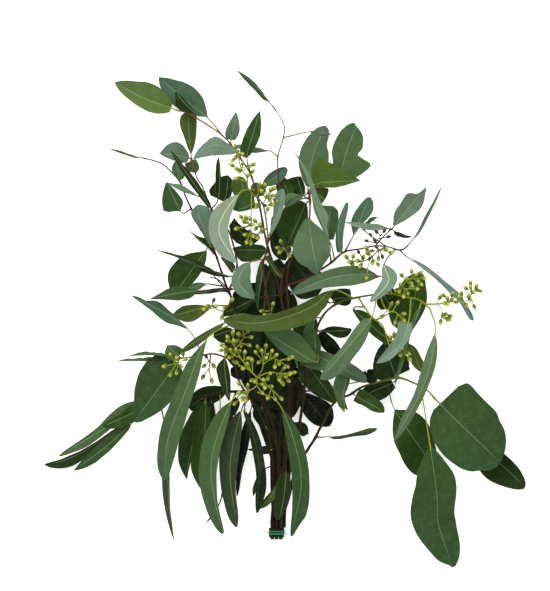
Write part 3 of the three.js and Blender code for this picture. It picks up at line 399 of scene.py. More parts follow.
outlines["top_right"] = {
    0: [308, 190, 303, 181, 300, 173, 298, 164, 299, 157, 301, 149, 306, 140, 312, 132, 318, 127,
        325.5, 124.5, 328, 128, 329, 133, 328, 140, 326, 146, 328, 153, 329, 161, 327, 168, 321, 179,
        312, 190],
    1: [337, 178, 334, 171, 332, 163, 331, 154, 332, 147, 335, 140, 339, 133, 344, 128, 349, 124,
        354, 122, 356, 127, 360, 130, 362.5, 136, 363, 143, 362, 150, 359, 154.5, 355, 155, 353.5, 156.5,
        359, 157.5, 363, 162.5, 367, 160.5, 370, 162, 374.5, 163, 370, 168, 364, 173, 357, 177.5,
        346, 181],
    2: [312, 189, 312, 180, 312.5, 172, 316, 163, 320.5, 155.5, 324, 160, 328, 162.5, 336, 166,
        345, 170.5, 353, 176, 360.5, 181, 352, 183.5, 344, 186.5, 336, 188.5, 329, 188.2, 320, 188.5],
    3: [291, 147.5, 295, 153, 301, 161, 306, 169, 311, 178, 316, 192, 320, 203, 325, 211, 329, 219,
        326, 223, 327, 230, 330, 242, 334, 258, 327, 242, 322, 229, 316, 218, 313, 210, 312, 200,
        309, 188, 305, 175, 300, 163, 296, 156],
    4: [303, 198, 297, 194, 292, 193.5, 286, 194, 284, 200, 283.5, 207, 290, 206, 296, 203, 301, 200],
    5: [304, 198, 298, 198, 290, 195, 286, 188, 286, 179, 294, 177, 301, 176, 305, 185, 306, 193],
    6: [306, 203, 300, 200, 292, 202, 284, 208, 279, 216, 278, 226, 279, 236, 285, 250, 293, 246,
        300, 240, 307, 227, 309, 215, 308, 206],
    8: [307, 216, 303, 224, 299, 232, 294, 242, 292, 250, 294, 258, 301, 264, 308, 267, 311, 272,
        316, 274.5, 320, 271, 323, 264, 328, 259, 331, 250, 330, 243, 326, 236, 320, 229, 312, 222],
    9: [341, 258, 337, 253, 335, 245, 335, 235, 337, 223, 340, 214, 343, 207, 347, 201, 348.5, 206,
        347, 213, 345, 222, 343, 232, 342.5, 240, 342.5, 250],
    10: [331, 246, 325, 240, 322, 228, 320, 216, 320, 206, 326, 205, 333, 206, 337, 209, 339, 214,
         338, 224, 335, 236],
    11: [353.5, 236, 351, 228, 351, 221, 353, 215, 357, 210, 361, 204, 365, 199, 369, 196.5, 372, 199,
         374, 206, 373, 213, 369, 218, 364, 223, 358, 230],
    13: [390, 229, 383, 226, 376, 224, 369, 224, 361, 223, 352, 222.5, 343, 222, 350, 225, 357, 228,
         365, 230.5, 373, 231.5, 381, 230.5],
    14: [392.5, 227, 393, 221, 393, 214, 395, 209, 399, 205, 402, 199, 405, 194, 408, 191, 412.5, 188.5,
         414, 191, 413, 195.5, 417, 194, 421, 191, 427, 186, 425, 193, 424, 200, 422, 206, 418, 211,
         411, 216, 404, 221, 397, 225],
    15: [413, 239, 417, 232, 420, 225, 424, 216, 429, 208, 434, 199, 438, 191, 442, 184.5, 439, 194,
         435, 203, 431, 211, 427, 219, 423, 227, 419, 234, 415, 238],
    17: [407, 257, 409, 258, 418, 261, 427, 266, 436, 273, 445, 281, 453, 287, 459, 292, 463, 298,
         467, 305, 471, 310, 474, 316, 474.5, 321, 470, 320, 466, 313, 462, 306, 458, 300, 453, 296,
         447, 290, 440, 283, 432, 276, 424, 270, 415, 263],
    18: [383, 264, 381, 272, 382, 278, 378, 285, 374, 292, 370, 298, 369, 303, 376, 300, 383, 296,
         390, 290, 395, 284, 398, 279, 396, 274, 391, 268],
    19: [297, 347, 305, 349, 313, 349.5, 322, 350, 331, 353, 341, 358, 350, 362, 358, 367, 364, 372,
         367.5, 378, 366, 383, 359, 382, 350, 379, 341, 375, 331, 371.5, 320, 370, 309, 368, 301, 364,
         297, 356],
    20: [292, 424, 297, 421.5, 303, 422, 307, 425, 309, 430, 307, 435, 303, 438, 298, 433, 294, 428],
}
outlines["right"] = {
    0: [380, 277, 372, 272, 365, 268.5, 357, 266.5, 348, 266, 338, 267.5, 328, 270, 316, 275, 304, 281,
        296, 286, 289.5, 294.5, 296, 294.5, 304, 293.5, 312, 290.5, 322, 288.5, 332, 287.5, 342, 287,
        352, 286, 360, 284, 368, 282, 374, 279],
    1: [333, 290, 325, 291.5, 316, 296, 305, 301.5, 293, 307, 281, 311.5, 268, 314.5, 255, 315.5,
        243, 312.5, 232, 315, 222, 319.5, 228, 325, 236, 329, 250, 330.5, 265, 331, 280, 330.5, 293, 328,
        305, 324.5, 314, 320, 320, 312, 326, 303, 331, 296],
    2: [317, 362, 308, 363, 298, 360, 288, 356, 280, 350, 272, 342, 263, 330.5, 272, 329, 282, 327,
        291, 328, 300, 333, 307, 341, 312, 349, 316.5, 355],
    3: [371, 318, 366, 318, 360, 321, 355, 328, 350, 335, 345, 343, 340, 349, 334, 356, 328, 363,
        323, 371, 319.5, 379, 326, 380.5, 334, 378, 342, 372, 348, 366, 352, 360, 358, 352, 363, 345,
        367, 337, 369, 330, 371, 323],
    4: [408, 321, 400, 320.5, 396, 324, 397, 330, 394, 337, 390, 343, 385, 350, 380, 356, 375.5, 363.5,
        384, 362, 392, 358, 398, 352, 404, 345, 409, 338, 411, 330, 412, 323],
    5: [421, 306, 419, 315, 414, 325, 411, 335, 408, 346, 405, 357, 402, 368, 398, 378, 395, 386,
        396, 376, 399, 364, 402, 352, 405, 341, 408, 330, 412, 319, 416, 310],
    6: [421, 271.5, 425, 276, 425.5, 285, 427, 295, 426.5, 304, 423, 313, 417, 323, 411, 333, 405, 338,
        398, 334, 392, 326, 388, 316, 389, 306, 393, 296, 399, 286, 406, 278, 413, 273.5],
    7: [391, 312, 386, 311.5, 380, 310, 377, 306, 376, 301, 378, 296, 379, 290, 383, 286, 389, 285,
        394, 288, 397, 296, 398, 305],
    8: [352, 310, 358, 309, 365, 311, 372, 316, 378, 322, 384, 329, 388, 336, 395, 345, 386, 345,
        380, 341, 373, 336, 368, 331, 362, 325, 357, 318],
    9: [434.5, 333, 431, 340, 427, 349, 424, 358, 421, 367, 418, 377, 416, 386, 413, 394, 409, 403,
        404, 412, 400, 420, 397, 429, 394, 438, 392.5, 442.5, 398, 438, 403, 431, 409, 423, 414, 414,
        419, 405, 424, 395, 428, 385, 432, 375, 435, 365, 436.5, 355, 437, 345, 436, 337],
    10: [321, 331, 324, 329, 329, 326, 335, 325.5, 341, 326.5, 347, 328, 352, 328, 350, 334, 346, 337,
         340, 338, 334, 337, 329, 333],
    11: [317, 325, 323, 330, 330, 336, 335, 340, 339, 346, 342, 352, 338, 355, 333, 355, 326, 352,
         321, 346, 317, 338, 315, 331],
    12: [314, 320, 309, 323, 304, 328, 303, 336, 307, 343, 311, 349, 316, 355, 320, 352, 322, 346,
         319, 337, 316, 329],
    13: [296, 352, 297.5, 360, 297, 372, 301, 382, 308, 390, 317, 396, 327, 401, 336.5, 405, 337, 397,
         334, 389, 329, 381, 322, 372, 314, 364, 306, 356],
    14: [300, 393, 296, 398, 299, 405, 303, 414, 309, 421, 316, 426, 323, 427, 330, 427, 334, 420,
         333, 413, 332, 405, 325, 400, 314, 395, 306, 392],
    15: [408, 342, 409, 344, 414, 346, 418, 352, 421, 358, 424, 363, 424, 369, 421, 372, 417, 370,
         413, 367, 410, 362, 407, 355, 406, 348],
}
outlines["lower_right"] = {
    0: [396, 378, 386, 381, 379, 382, 374, 378, 373.5, 370, 375, 360, 377, 352, 381, 346, 385, 343,
        393, 344, 400, 347, 406, 354, 409, 360, 411, 367, 409, 373, 405, 378],
    1: [400, 381, 396, 388, 391, 395, 385, 399, 378, 402, 368, 401, 360, 398, 361, 391, 367, 386,
        376, 382, 388, 380],
    2: [435, 399, 442, 396, 450, 389.5, 458, 386, 464, 384.5, 469, 384, 472, 386, 477, 392, 484, 400,
        491, 406, 496, 412, 498, 419, 501, 424, 504, 431, 505.5, 439, 504, 448, 502, 456, 501, 464,
        495, 468, 489, 470.5, 481, 470, 476, 469, 466, 469, 458, 466, 452, 462, 446, 458, 442, 454,
        437, 447, 433, 440, 431.5, 430, 432, 420, 433.5, 410],
    3: [470, 433, 480, 437, 490, 443, 499, 449, 507, 456, 514, 462, 521, 470, 525, 477, 528, 486,
        526, 490, 519, 491, 510, 489, 503, 487, 495, 484, 488, 480, 482, 474, 476, 463, 470, 450],
    4: [395, 410, 393, 420, 392.5, 431, 394, 442, 399, 451, 403, 461, 408, 469, 415, 475, 424, 477,
        436, 471, 437, 466, 437, 455, 435, 443, 432, 431, 427, 420, 419, 412.5, 411, 410, 403, 409.5],
    5: [430, 446, 437, 451, 442, 457, 448, 464, 453, 471, 455.5, 478, 455.5, 488, 454.5, 498, 454, 508,
        455, 518, 457, 528, 459, 538, 460.5, 548, 460, 557, 458, 563, 456, 568, 453.5, 569.5, 450, 566,
        444, 564, 437, 560, 431, 553, 425, 546, 419, 538, 414, 529, 411, 520, 410, 511, 410.5, 501,
        413, 491, 414.5, 482, 415.5, 473, 419, 464, 424, 455],
    6: [355, 394, 350, 391, 347, 395, 351, 399, 356, 403, 361, 406, 365, 406, 368, 410, 373, 412,
        380, 413.5, 385.5, 412.5, 384, 406, 380, 401, 373, 396, 366, 391, 360, 389],
    7: [345.5, 413, 341, 411, 338, 405, 336, 398, 333, 390, 333, 382, 337, 374, 345, 365, 351, 371,
        350, 380, 347, 389, 344, 396, 346, 403, 347, 409],
    8: [330, 437, 331, 439.5, 337, 440, 345, 438.5, 355, 436.5, 364, 436, 371, 434, 376, 431, 378.5, 429,
        375, 427.8, 369, 428, 362, 430, 354, 432.5, 346, 435, 338, 436],
}
outlines["lower_left"] = {
    0: [190, 330, 185, 325, 180, 321, 174, 315, 168, 310, 163, 305, 158, 301, 150, 300.5, 147, 302,
        143, 299, 138, 296.5, 131, 295.5, 138, 301, 145, 306, 153, 313, 160, 320, 167, 324, 176, 325,
        184, 328],
    1: [180, 360, 170, 360, 165, 357, 165, 352, 166, 347, 170, 345, 175, 344.5, 180, 346.5, 184, 350,
        186, 355],
    2: [167, 356, 165, 354, 155, 353, 145, 353, 135, 354, 127.5, 356, 140, 356, 150, 356.5, 160, 357.5],
    3: [166, 361, 160, 359.5, 150, 358.5, 137, 358.5, 125, 359.5, 116.5, 361.5, 135, 362, 150, 362.5,
        160, 363],
    4: [177, 362, 170, 355, 160, 353.5, 152, 357, 146, 362, 141, 370, 138, 378, 136, 387, 135, 396,
        133.5, 405, 133.5, 414, 133.5, 422.5, 138, 422.5, 143, 421, 150, 417, 158, 413, 166, 407,
        172, 401, 177, 394, 181, 385, 183, 376, 182, 368],
    5: [146, 402, 133, 401, 127, 403, 120, 406, 112, 412, 105, 419, 100, 425, 93, 431, 85, 437, 76, 443,
        67, 449, 61, 453, 57, 457.5, 63, 456.5, 70, 454, 79, 451, 87, 447, 93, 443, 100, 438, 106, 433,
        111, 429, 118, 422, 126, 416, 134, 411, 146, 405],
    6: [138, 410, 133, 403, 127, 408, 118, 415, 108, 420, 101, 426, 104, 428.5, 110, 429, 118, 428,
        126, 426, 133, 422, 138, 416],
    7: [128, 424, 119, 426, 110, 432, 103, 437, 96, 442, 88, 447, 80, 452, 70, 456, 61, 460, 52, 462,
        42.8, 465, 47, 468, 54, 469.5, 63, 469.5, 71, 467.5, 78, 464, 86, 458, 94, 452, 103, 445,
        112, 438, 120, 431],
    8: [131, 424, 124, 426, 116, 430, 109, 435, 101, 442, 93, 449, 86, 456, 79, 463, 72.5, 471.5, 80, 470,
        88, 467, 96, 462, 103, 456, 110, 450, 118, 442, 124, 435, 129, 430],
    9: [164, 424, 161, 440, 161, 455, 162, 470, 162, 485, 163, 500, 165, 512, 168, 525, 171, 535,
        174, 543, 173, 532, 171.5, 520, 170, 507, 169.8, 492, 169.8, 477, 169, 460, 168, 443, 166, 428],
    10: [205, 400, 198, 404, 192, 412, 187, 421, 182, 431, 179, 441, 178, 452, 178.5, 462, 181, 470,
         184, 476, 187, 480.5, 188, 474, 190, 465, 193, 455, 196, 444, 199, 432, 202, 420, 205, 410],
    11: [206, 402, 200, 408, 196, 418, 193, 430, 192, 442, 191, 455, 190, 466, 192, 474, 196, 482,
         200, 488.5, 203, 480, 205, 468, 208, 455, 210, 442, 211, 428, 210, 414],
    13: [231, 401, 225, 405, 219, 410, 213, 418, 208, 427, 204, 436, 201, 446, 200, 456, 199, 466,
         198.5, 476, 200, 488, 202, 497, 205, 506, 208, 515, 212, 522, 216, 529, 220, 533, 224, 536,
         224, 530, 222, 522, 220, 514, 218, 505, 217, 496, 216.5, 486, 216, 476, 217, 466, 219, 455,
         221, 445, 224, 435, 227, 424, 230, 414],
    14: [241, 410, 235, 415, 229, 422, 225, 431, 222, 441, 220, 451, 219.5, 461, 220, 471, 220.5, 482,
         221.5, 492, 224, 502, 226, 511, 229, 519, 233, 525, 237, 529, 238.5, 522, 238.5, 512, 237, 502,
         236, 492, 236, 482, 237, 470, 238.5, 459, 240, 448, 241.5, 436, 242.5, 424],
    15: [251, 409, 246, 418, 242, 429, 239, 441, 237.5, 454, 236, 467, 236, 479, 235.5, 490, 237, 498,
         239, 492, 240.5, 482, 242, 471, 245, 460, 248, 449, 250, 438, 251.5, 425],
    16: [243, 409, 247, 412, 252, 420, 256, 428, 260, 437, 262.5, 447, 264, 457, 266, 467, 267, 478,
         267, 489, 264, 499, 261, 508, 257, 515, 255.5, 510, 255.5, 500, 256, 490, 256.5, 480, 256, 470,
         254, 459, 252, 447, 250, 436, 248, 425, 244, 416],
    17: [267, 430, 263, 436, 261, 430, 258, 424, 253, 418, 251, 413, 254, 407, 258, 404, 262, 410,
         265, 418],
    18: [263, 470, 257, 476, 254, 484, 252, 491, 253.5, 498, 256, 492, 257, 485, 260, 478],
    19: [270, 446, 262, 446.5, 255, 448, 246.5, 449.5, 252, 451.5, 260, 454.5, 268, 455, 272, 451],
    20: [225, 357, 220, 362, 216, 367, 217, 373, 219, 380, 222, 388, 226, 396, 229.5, 402, 231, 394,
         231, 385, 231, 375, 229, 366],
    21: [220, 401, 219, 430, 219, 460, 221, 480, 222, 492, 219.5, 503, 214, 512, 208, 520, 204.5, 525.5,
         212, 519, 218, 509, 223, 497, 223.5, 482, 222, 460, 222, 430],
}

# Leaves deep in the bunch, in rows as above but with the outline in place of the shape. Most take the
# darkest tones, as painted shade.
innerLeaves = {}
innerLeaves["left"] = [
    # An ink leaf laid flat under the stems. Its painted shade also stands in for the shade in the slits
    # between them.
    [[282, 372, 290, 400, 292, 440, 291, 478, 286, 512, 286, 529, 279, 530, 272, 529, 271, 505,
      270, 480, 270, 440, 274, 400],
     18, 0, "ink", [278, 470], [282, 374, 3], [280, 450, 2.8], [279, 530, 2.8]],
    [[216, 258, 208, 248, 198, 241, 190, 231, 180, 221.5, 187, 228, 195, 235, 201, 238, 207, 238,
      212, 246],
     12, 25, "dark", [216, 257], [214, 254, 74], [197, 238, 78], [181, 222, 76]],
    [[207, 284, 200, 282, 193, 283, 187, 290, 196, 292, 201, 289],
     9, 10, "teal", [222, 287], [207, 284, 58], [198, 286, 54], [187, 290, 50]],
    [[233, 288, 222, 288, 208, 290, 195, 291, 180, 295, 195, 295, 208, 294.5, 222, 292],
     6, 40, "dark", [231, 291], [232, 289, 62], [206, 292, 60], [180, 295, 56]],
    [[232, 277, 220, 273, 208, 270, 200, 268, 200, 272, 210, 275, 222, 278],
     6, 45, "dark", [233, 280], [231, 276, 70], [215, 273, 74], [200, 270, 78]],
    [[246, 330, 262, 331, 259, 350, 254, 371, 247, 368, 243, 350],
     18, 0, "ink", [240, 330], [253, 331, 44], [251, 350, 40], [251, 370, 36]],
    [[226, 336, 240, 331, 246, 345, 244, 360, 236, 369, 228, 362, 223, 350],
     22, 0, "dark", [242, 340], [240, 334, 46], [234, 350, 44], [232, 368, 42]],
    [[231, 367, 240, 366, 246, 372, 243, 380, 235, 379, 230, 374],
     13, 0, "ink", [248, 368], [245, 369, 40], [238, 372, 38], [231, 376, 36]],
]
innerLeaves["top_right"] = [
    [[313, 190, 322, 187, 329, 188, 327, 196, 323, 202, 319, 206, 314, 203, 311, 196],
     16, 0, "olive", [309, 193], [313, 192, 52], [319, 195, 50], [325, 200, 48]],
    [[290, 240, 272, 214, 270, 230, 270, 248, 274, 256, 284, 262, 292, 254],
     18, 0, "ink", [295, 248], [290, 252, 40], [280, 240, 38], [272, 216, 36]],
    [[284, 250, 296, 252, 312, 262, 324, 274, 324, 288, 314, 298, 300, 300, 290, 290, 284, 272],
     38, 0, "ink", [290, 262], [290, 257, 36], [303, 274, 32], [318, 296, 28]],
    [[289, 262, 280, 258, 268, 262, 266, 276, 270, 292, 280, 298, 288, 290, 291, 276],
     24, 0, "ink", [288, 270], [286, 266, 34], [279, 278, 32], [274, 294, 30]],
    [[292, 232, 306, 236, 320, 250, 326, 262, 318, 262, 304, 256, 294, 246],
     18, 0, "dark", [300, 240], [300, 238, 44], [310, 248, 42], [325, 262, 40]],
]
innerLeaves["right"] = [
    [[236, 286, 262, 281, 288, 286, 300, 302, 296, 322, 270, 331, 240, 323, 229, 304],
     64, 0, "ink", [291, 345], [296, 324, 24], [266, 304, 18], [232, 300, 14]],
    [[232, 324, 256, 319, 284, 322, 300, 338, 300, 358, 282, 367, 250, 362, 231, 348],
     64, 0, "ink", [305, 370], [299, 352, 22], [266, 344, 16], [233, 338, 12]],
    [[236, 350, 262, 350, 290, 356, 307, 380, 300, 400, 284, 412, 268, 408, 250, 396, 238, 376],
     64, 0, "ink", [303, 400], [300, 386, 18], [270, 378, 12], [239, 366, 8]],
    [[328, 297, 332, 291, 340, 288, 350, 289, 352, 299, 348, 306, 340, 306, 333, 301],
     17, 0, "dark", [335, 305], [333, 300, 56], [341, 298, 54], [351, 298, 50]],
    [[304, 306, 316, 316, 320, 330, 312, 342, 300, 344, 292, 332, 294, 316],
     28, 0, "dark", [312, 340], [311, 335, 36], [305, 324, 34], [302, 308, 32]],
    [[306, 342, 292, 336, 280, 342, 276, 356, 284, 368, 298, 368, 306, 358],
     28, 0, "ink", [305, 372], [300, 364, 30], [291, 354, 28], [282, 342, 26]],
    [[302, 372, 292, 366, 282, 372, 278, 390, 282, 410, 292, 420, 300, 408, 304, 390],
     24, 0, "ink", [303, 390], [299, 378, 26], [291, 394, 22], [290, 418, 18]],
    [[364, 370, 375, 369, 379, 376, 376, 384, 367, 384, 362, 377],
     13, 0, "ink", [350, 395], [364, 381, 20], [370, 377, 18], [377, 374, 16]],
    [[329, 300, 318, 300, 306, 304, 296, 312, 300, 318, 314, 316, 326, 308],
     15, 0, "deep", [338, 303], [330, 303, 50], [315, 309, 48], [297, 314, 46]],
]
innerLeaves["lower_left"] = [
    [[213, 398, 203, 402, 196, 416, 194, 434, 198, 460, 206, 452, 213, 436, 216, 416],
     18, 0, "ink", [214, 395], [211, 401, 26], [204, 428, 22], [199, 458, 18]],
    [[232, 402, 224, 410, 218, 428, 218, 452, 221, 466, 228, 450, 232, 428, 234, 412],
     13, 0, "ink", [236, 393], [231, 404, 34], [225, 432, 28], [221, 464, 22]],
    [[229, 388, 216, 385, 200, 387, 190, 396, 186, 410, 196, 412, 210, 406, 224, 398],
     20, 0, "dark", [228, 392], [226, 391, 34], [206, 397, 30], [188, 408, 26]],
    [[236, 396, 231, 402, 232, 414, 234, 417, 238, 410, 241, 402],
     10, 0, "ink", [243, 391], [237, 398, 40], [235, 406, 38], [234, 416, 36]],
    [[262, 402, 254, 404, 262, 424, 270, 446, 276, 470, 284, 474, 288, 456, 282, 430, 272, 410],
     16, 0, "ink", [266, 424], [262, 408, 20], [273, 438, 16], [282, 472, 12]],
]
innerLeaves["top_left"] = [
    [[262, 262, 256, 284, 256, 304, 262, 318, 270, 320, 276, 304, 276, 284, 270, 266],
     20, 0, "dark", [277, 280], [270, 270, 46], [265, 292, 42], [264, 318, 38]],
    [[270, 334, 262, 346, 262, 366, 266, 388, 276, 398, 284, 384, 286, 360, 282, 340],
     22, 0, "ink", [288, 345], [280, 344, 40], [274, 366, 36], [273, 396, 30]],
    [[262, 236, 252, 232, 240, 226, 232, 214, 228, 220, 232, 240, 240, 246, 254, 246],
     18, 0, "dark", [262, 222], [258, 234, 54], [244, 234, 50], [231, 222, 46]],
]

# A spray's stalks start on the nearest twig of its stem, and each bud grows from the nearest joint of
# the stalks, between spread below and spread above the rise over that joint. Dried buds are listed by
# their number.
sprays = {}
sprays["top"] = {
    "on": "top_left", "rise": 2, "spread": 7, "dried": (20, 30, 38),
    "stalks": [
        [1.1, 0.7, "red", "lime", [287, 340], [277, 325, 65], [270, 310, 71], [266, 290, 77],
         [263, 265, 86], [266, 252, 90], [268, 240, 94], [267, 228, 97], [265, 213, 100],
         [262, 203, 102], [255, 196, 104], [248, 189, 105], [247, 178, 107], [241, 168, 108],
         [238, 153, 108]],
        [0.6, 0.5, "lime", "lime", [267, 230], [258, 227, 104], [249, 225, 108]],
        [0.6, 0.5, "lime", "lime", [263, 205], [267, 196, 106]],
        [0.5, 0.5, "lime", "lime", [252, 193], [251, 236, 106]],
    ],
    "buds": [
        [236, 147], [242, 155], [236, 158], [232, 166], [237, 170], [249, 167], [254, 165],
        [253, 172], [237, 179], [260, 185], [265, 186], [273, 196], [270, 201], [257, 207],
        [272, 205], [241, 217], [250, 219], [237, 229], [256, 229], [260, 225], [250, 232],
        [247, 242], [251, 243], [262, 311], [265, 315], [273, 304], [238, 152], [233, 161],
        [240, 172], [271, 190], [265, 206], [246, 218], [253, 236], [252, 225],
        [244, 222], [255, 221], [246, 235], [257, 238], [243, 229], [262, 232], [262, 192],
        [268, 197], [274, 189], [268, 209], [276, 201], [248, 176], [243, 164],
    ],
}
sprays["heart"] = {
    "on": "top_right", "rise": 2, "spread": 4, "dried": (1, 4),
    "stalks": [[0.8, 0.6, "lime", "lime", [296, 247], [288, 247, 65], [284, 249, 68]]],
    "buds": [[281, 242], [284, 245], [278, 248], [280, 252], [288, 250], [289, 255]],
}
sprays["upper_right"] = {
    "on": "top_right", "rise": 2, "spread": 5, "dried": (9, 10, 11, 12, 13, 19, 21, 22, 24, 25),
    "stalks": [
        [0.9, 0.6, "amber", "lime", [386, 247], [378, 251, 84], [370, 258, 91], [360, 262, 95],
         [349, 261, 96]],
        [0.6, 0.5, "amber", "old", [378, 251], [376, 242, 94], [380, 236, 98]],
        [0.5, 0.5, "lime", "lime", [370, 258], [367, 268, 104]],
    ],
    "buds": [
        [346, 257], [353, 256], [352, 264], [360, 266], [366, 248], [367, 253], [372, 263],
        [378, 265], [391, 253], [374, 240], [384, 231], [388, 237], [366, 241], [376, 232],
        [366, 277], [378, 259], [349, 262], [357, 261], [371, 251], [382, 257], [386, 250],
        [369, 259], [376, 247], [363, 257], [358, 252], [370, 235],
    ],
}
sprays["right"] = {
    "on": "right", "rise": 2, "spread": 5,
    "stalks": [
        [0.9, 0.6, "lime", "lime", [399, 295], [402, 287, 82], [406, 281, 88], [414, 277, 92]],
        [0.6, 0.5, "lime", "lime", [402, 287], [406, 290, 90]],
    ],
    "buds": [
        [401, 275], [411, 271], [420, 273], [423, 278], [420, 284], [411, 287], [416, 289],
        [407, 293], [403, 296], [399, 291], [406, 279], [415, 275], [417, 281], [410, 283],
        [400, 285], [396, 290],
    ],
}
sprays["far_right"] = {
    "on": "right", "rise": 1, "spread": 5,
    "stalks": [
        [0.9, 0.6, "lime", "lime", [424, 304], [436, 304, 73], [450, 302, 76], [465, 301, 77],
         [470, 297, 78], [471, 290, 80]],
        [0.6, 0.5, "lime", "lime", [437, 304], [441, 309, 78], [442, 315, 80]],
    ],
    "buds": [
        [440, 297], [447, 298], [452, 294], [444, 303], [465, 288], [470, 283], [476, 286],
        [480, 291], [473, 292], [470, 300], [474, 307], [443, 317], [447, 320], [450, 316],
        [440, 322], [443, 295], [452, 299], [466, 305],
        [456, 302], [459, 297], [461, 293], [447, 304], [468, 296], [477, 290], [470, 287],
        [446, 314], [449, 319],
    ],
}
sprays["inner_right"] = {
    "on": "right", "rise": 2, "spread": 4,
    "stalks": [[0.8, 0.6, "lime", "lime", [380, 295], [382, 302, 77], [387, 311, 80],
                [395, 312, 81], [399, 316, 82]]],
    "buds": [[391, 304], [397, 303], [403, 314], [403, 320], [395, 322], [381, 317]],
}
sprays["small"] = {
    "on": "right", "rise": 3, "spread": 3,
    "stalks": [[0.7, 0.5, "lime", "lime", [387, 340], [394, 342, 70], [402, 349, 76]]],
    "buds": [[394, 334], [390, 337], [408, 353], [409, 359], [400, 354]],
}
sprays["upper_left"] = {
    "on": "left", "rise": 2, "spread": 4, "dried": (0,),
    "stalks": [[0.8, 0.6, "amber", "lime", [231, 298], [228, 306, 78], [222, 311, 84],
                [212, 306, 87]]],
    "buds": [[214, 300], [216, 306], [208, 306], [205, 309], [232, 300], [225, 307], [222, 318]],
}
sprays["left"] = {
    "on": "lower_left", "rise": 2, "spread": 4,
    "stalks": [[0.8, 0.6, "lime", "lime", [188, 357], [184, 360, 72], [176, 364, 78]]],
    "buds": [
        [171, 355], [177, 358], [183, 353], [186, 359], [165, 366], [171, 374], [177, 372],
        [181, 366],
    ],
}
sprays["inner_left"] = {
    "on": "lower_left", "rise": 1, "spread": 3, "dried": (0,),
    "stalks": [[0.8, 0.6, "shade", "lime", [211, 354], [210, 362, 68], [209, 372, 72]]],
    "buds": [[206, 356], [204, 366], [214, 366], [203, 377], [212, 381]],
}
sprays["middle"] = {
    "on": "left", "rise": 2, "spread": 8,
    "stalks": [
        [0.9, 0.8, "amber", "lime", [252, 381], [256, 378, 76], [262, 370, 84], [264, 358, 88]],
        [0.8, 0.6, "lime", "lime", [257, 377], [270, 372, 88], [281, 374, 90]],
        [0.8, 0.6, "lime", "lime", [257, 377], [250, 370, 82], [241, 358, 86], [233, 343, 86]],
        [0.7, 0.6, "lime", "lime", [257, 377], [256, 386, 86], [246, 392, 86]],
        [0.6, 0.6, "lime", "lime", [241, 358], [233, 354, 88], [226, 347, 90]],
        [0.6, 0.6, "lime", "lime", [264, 364], [272, 358, 90], [280, 361, 92]],
        [0.6, 0.6, "lime", "lime", [250, 370], [240, 365, 86], [232, 361, 86]],
        [0.7, 0.6, "lime", "lime", [258, 376], [268, 386, 88], [275, 392, 88]],
        [0.6, 0.5, "lime", "amber", [236, 348], [242, 341, 80], [245, 333, 80]],
    ],
    "buds": [
        [258, 347], [262, 351], [266, 346], [252, 360], [248, 364], [267, 355], [276, 355],
        [288, 359], [275, 366], [264, 380], [271, 386], [270, 373], [285, 376], [288, 380],
        [290, 373], [252, 380], [239, 383], [240, 392], [235, 403], [246, 399], [262, 392],
        [268, 397], [281, 398], [222, 345], [228, 337], [236, 350], [271, 358], [262, 384],
        [281, 381], [279, 379], [248, 385], [268, 378], [225, 347], [231, 350], [239, 351],
        [266, 358], [291, 357], [289, 374], [294, 372], [283, 383], [255, 381], [243, 399],
        [265, 387], [275, 398], [247, 365], [256, 352], [284, 368], [228, 341],
        [234, 341], [241, 345], [245, 352], [230, 357], [236, 362], [243, 368], [226, 353],
        [221, 350], [248, 358], [259, 362], [272, 351], [279, 363], [287, 366],
        [239, 334], [248, 331], [251, 337], [249, 345], [238, 341], [243, 328], [233, 333],
    ],
}


def place(spot):
    across, down, height = [*spot, 0][:3]
    return np.array([across - bunch["middleAcross"], bunch["middleDown"] - down, height], float)


def unit(vectors):
    return vectors / np.linalg.norm(vectors, axis=-1, keepdims=True)


class Route:  # the same smooth curve through its points as in the part's source
    def __init__(self, points):
        self.points = np.array(points, float)
        self.stretches = len(self.points) - 1
        first, last = self.points[0] * 2 - self.points[1], self.points[-1] * 2 - self.points[-2]
        self.padded = np.vstack([first, self.points, last])
        self.steps = np.linspace(0, 1, bunch["travelSteps"] + 1)
        reach = np.linalg.norm(np.diff(self.at(self.steps), axis=0), axis=1)
        self.travel = np.concatenate([[0], np.cumsum(reach)])

    def at(self, share):
        spot = np.clip(np.asarray(share, float), 0, 1) * self.stretches
        index = np.minimum(spot.astype(int), self.stretches - 1)
        w = (spot - index)[..., None]
        p0, p1, p2, p3 = (self.padded[index + k] for k in range(4))
        t1, t2 = (p2 - p0) / 2, (p3 - p1) / 2
        return p1 + t1 * w + (3 * p2 - 3 * p1 - 2 * t1 - t2) * w**2 + (2 * p1 - 2 * p2 + t1 + t2) * w**3

    def tangent(self, share):
        ahead, behind = np.clip(share + 1e-4, 0, 1), np.clip(share - 1e-4, 0, 1)
        return unit(self.at(ahead) - self.at(behind))

    def evenly(self, share):  # turns a share of the length into a share of the points
        return np.interp(np.asarray(share) * self.travel[-1], self.travel, self.steps)


def nearestOn(routes, spot):
    target = place(spot)
    samples = np.vstack([route.at(np.linspace(0, 1, bunch["searchSteps"] + 1)) for route in routes])
    return samples[np.argmin(np.hypot(*(samples - target)[:, :2].T))]


def crossDirections(tangents, turns):
    reference = np.where(np.abs(tangents[:, 2:]) > 0.9, [1.0, 0, 0], [0, 0, 1.0])
    side = unit(np.cross(reference, tangents))
    side = side * np.cos(turns)[:, None] + np.cross(tangents, side) * np.sin(turns)[:, None]
    return side, np.cross(tangents, side)


def routesOf(twigs, carriers):
    routes = []
    for _, _, _, _, first, *rest in twigs:
        start = place(first) if len(first) == 3 else nearestOn(routes or carriers, first)
        routes.append(Route([start, *map(place, rest)]))
    return routes


def screenColour(tone):  # a colour as it looks on a screen, as light
    share = np.array(tone, float) / 255
    light = np.where(share > 0.04045, ((share + 0.055) / 1.055) ** 2.4, share / 12.92)
    return np.append(light, 1.0)


stemRoutes = {name: routesOf(stem["twigs"], None) for name, stem in stems.items()}
print("routes laid")


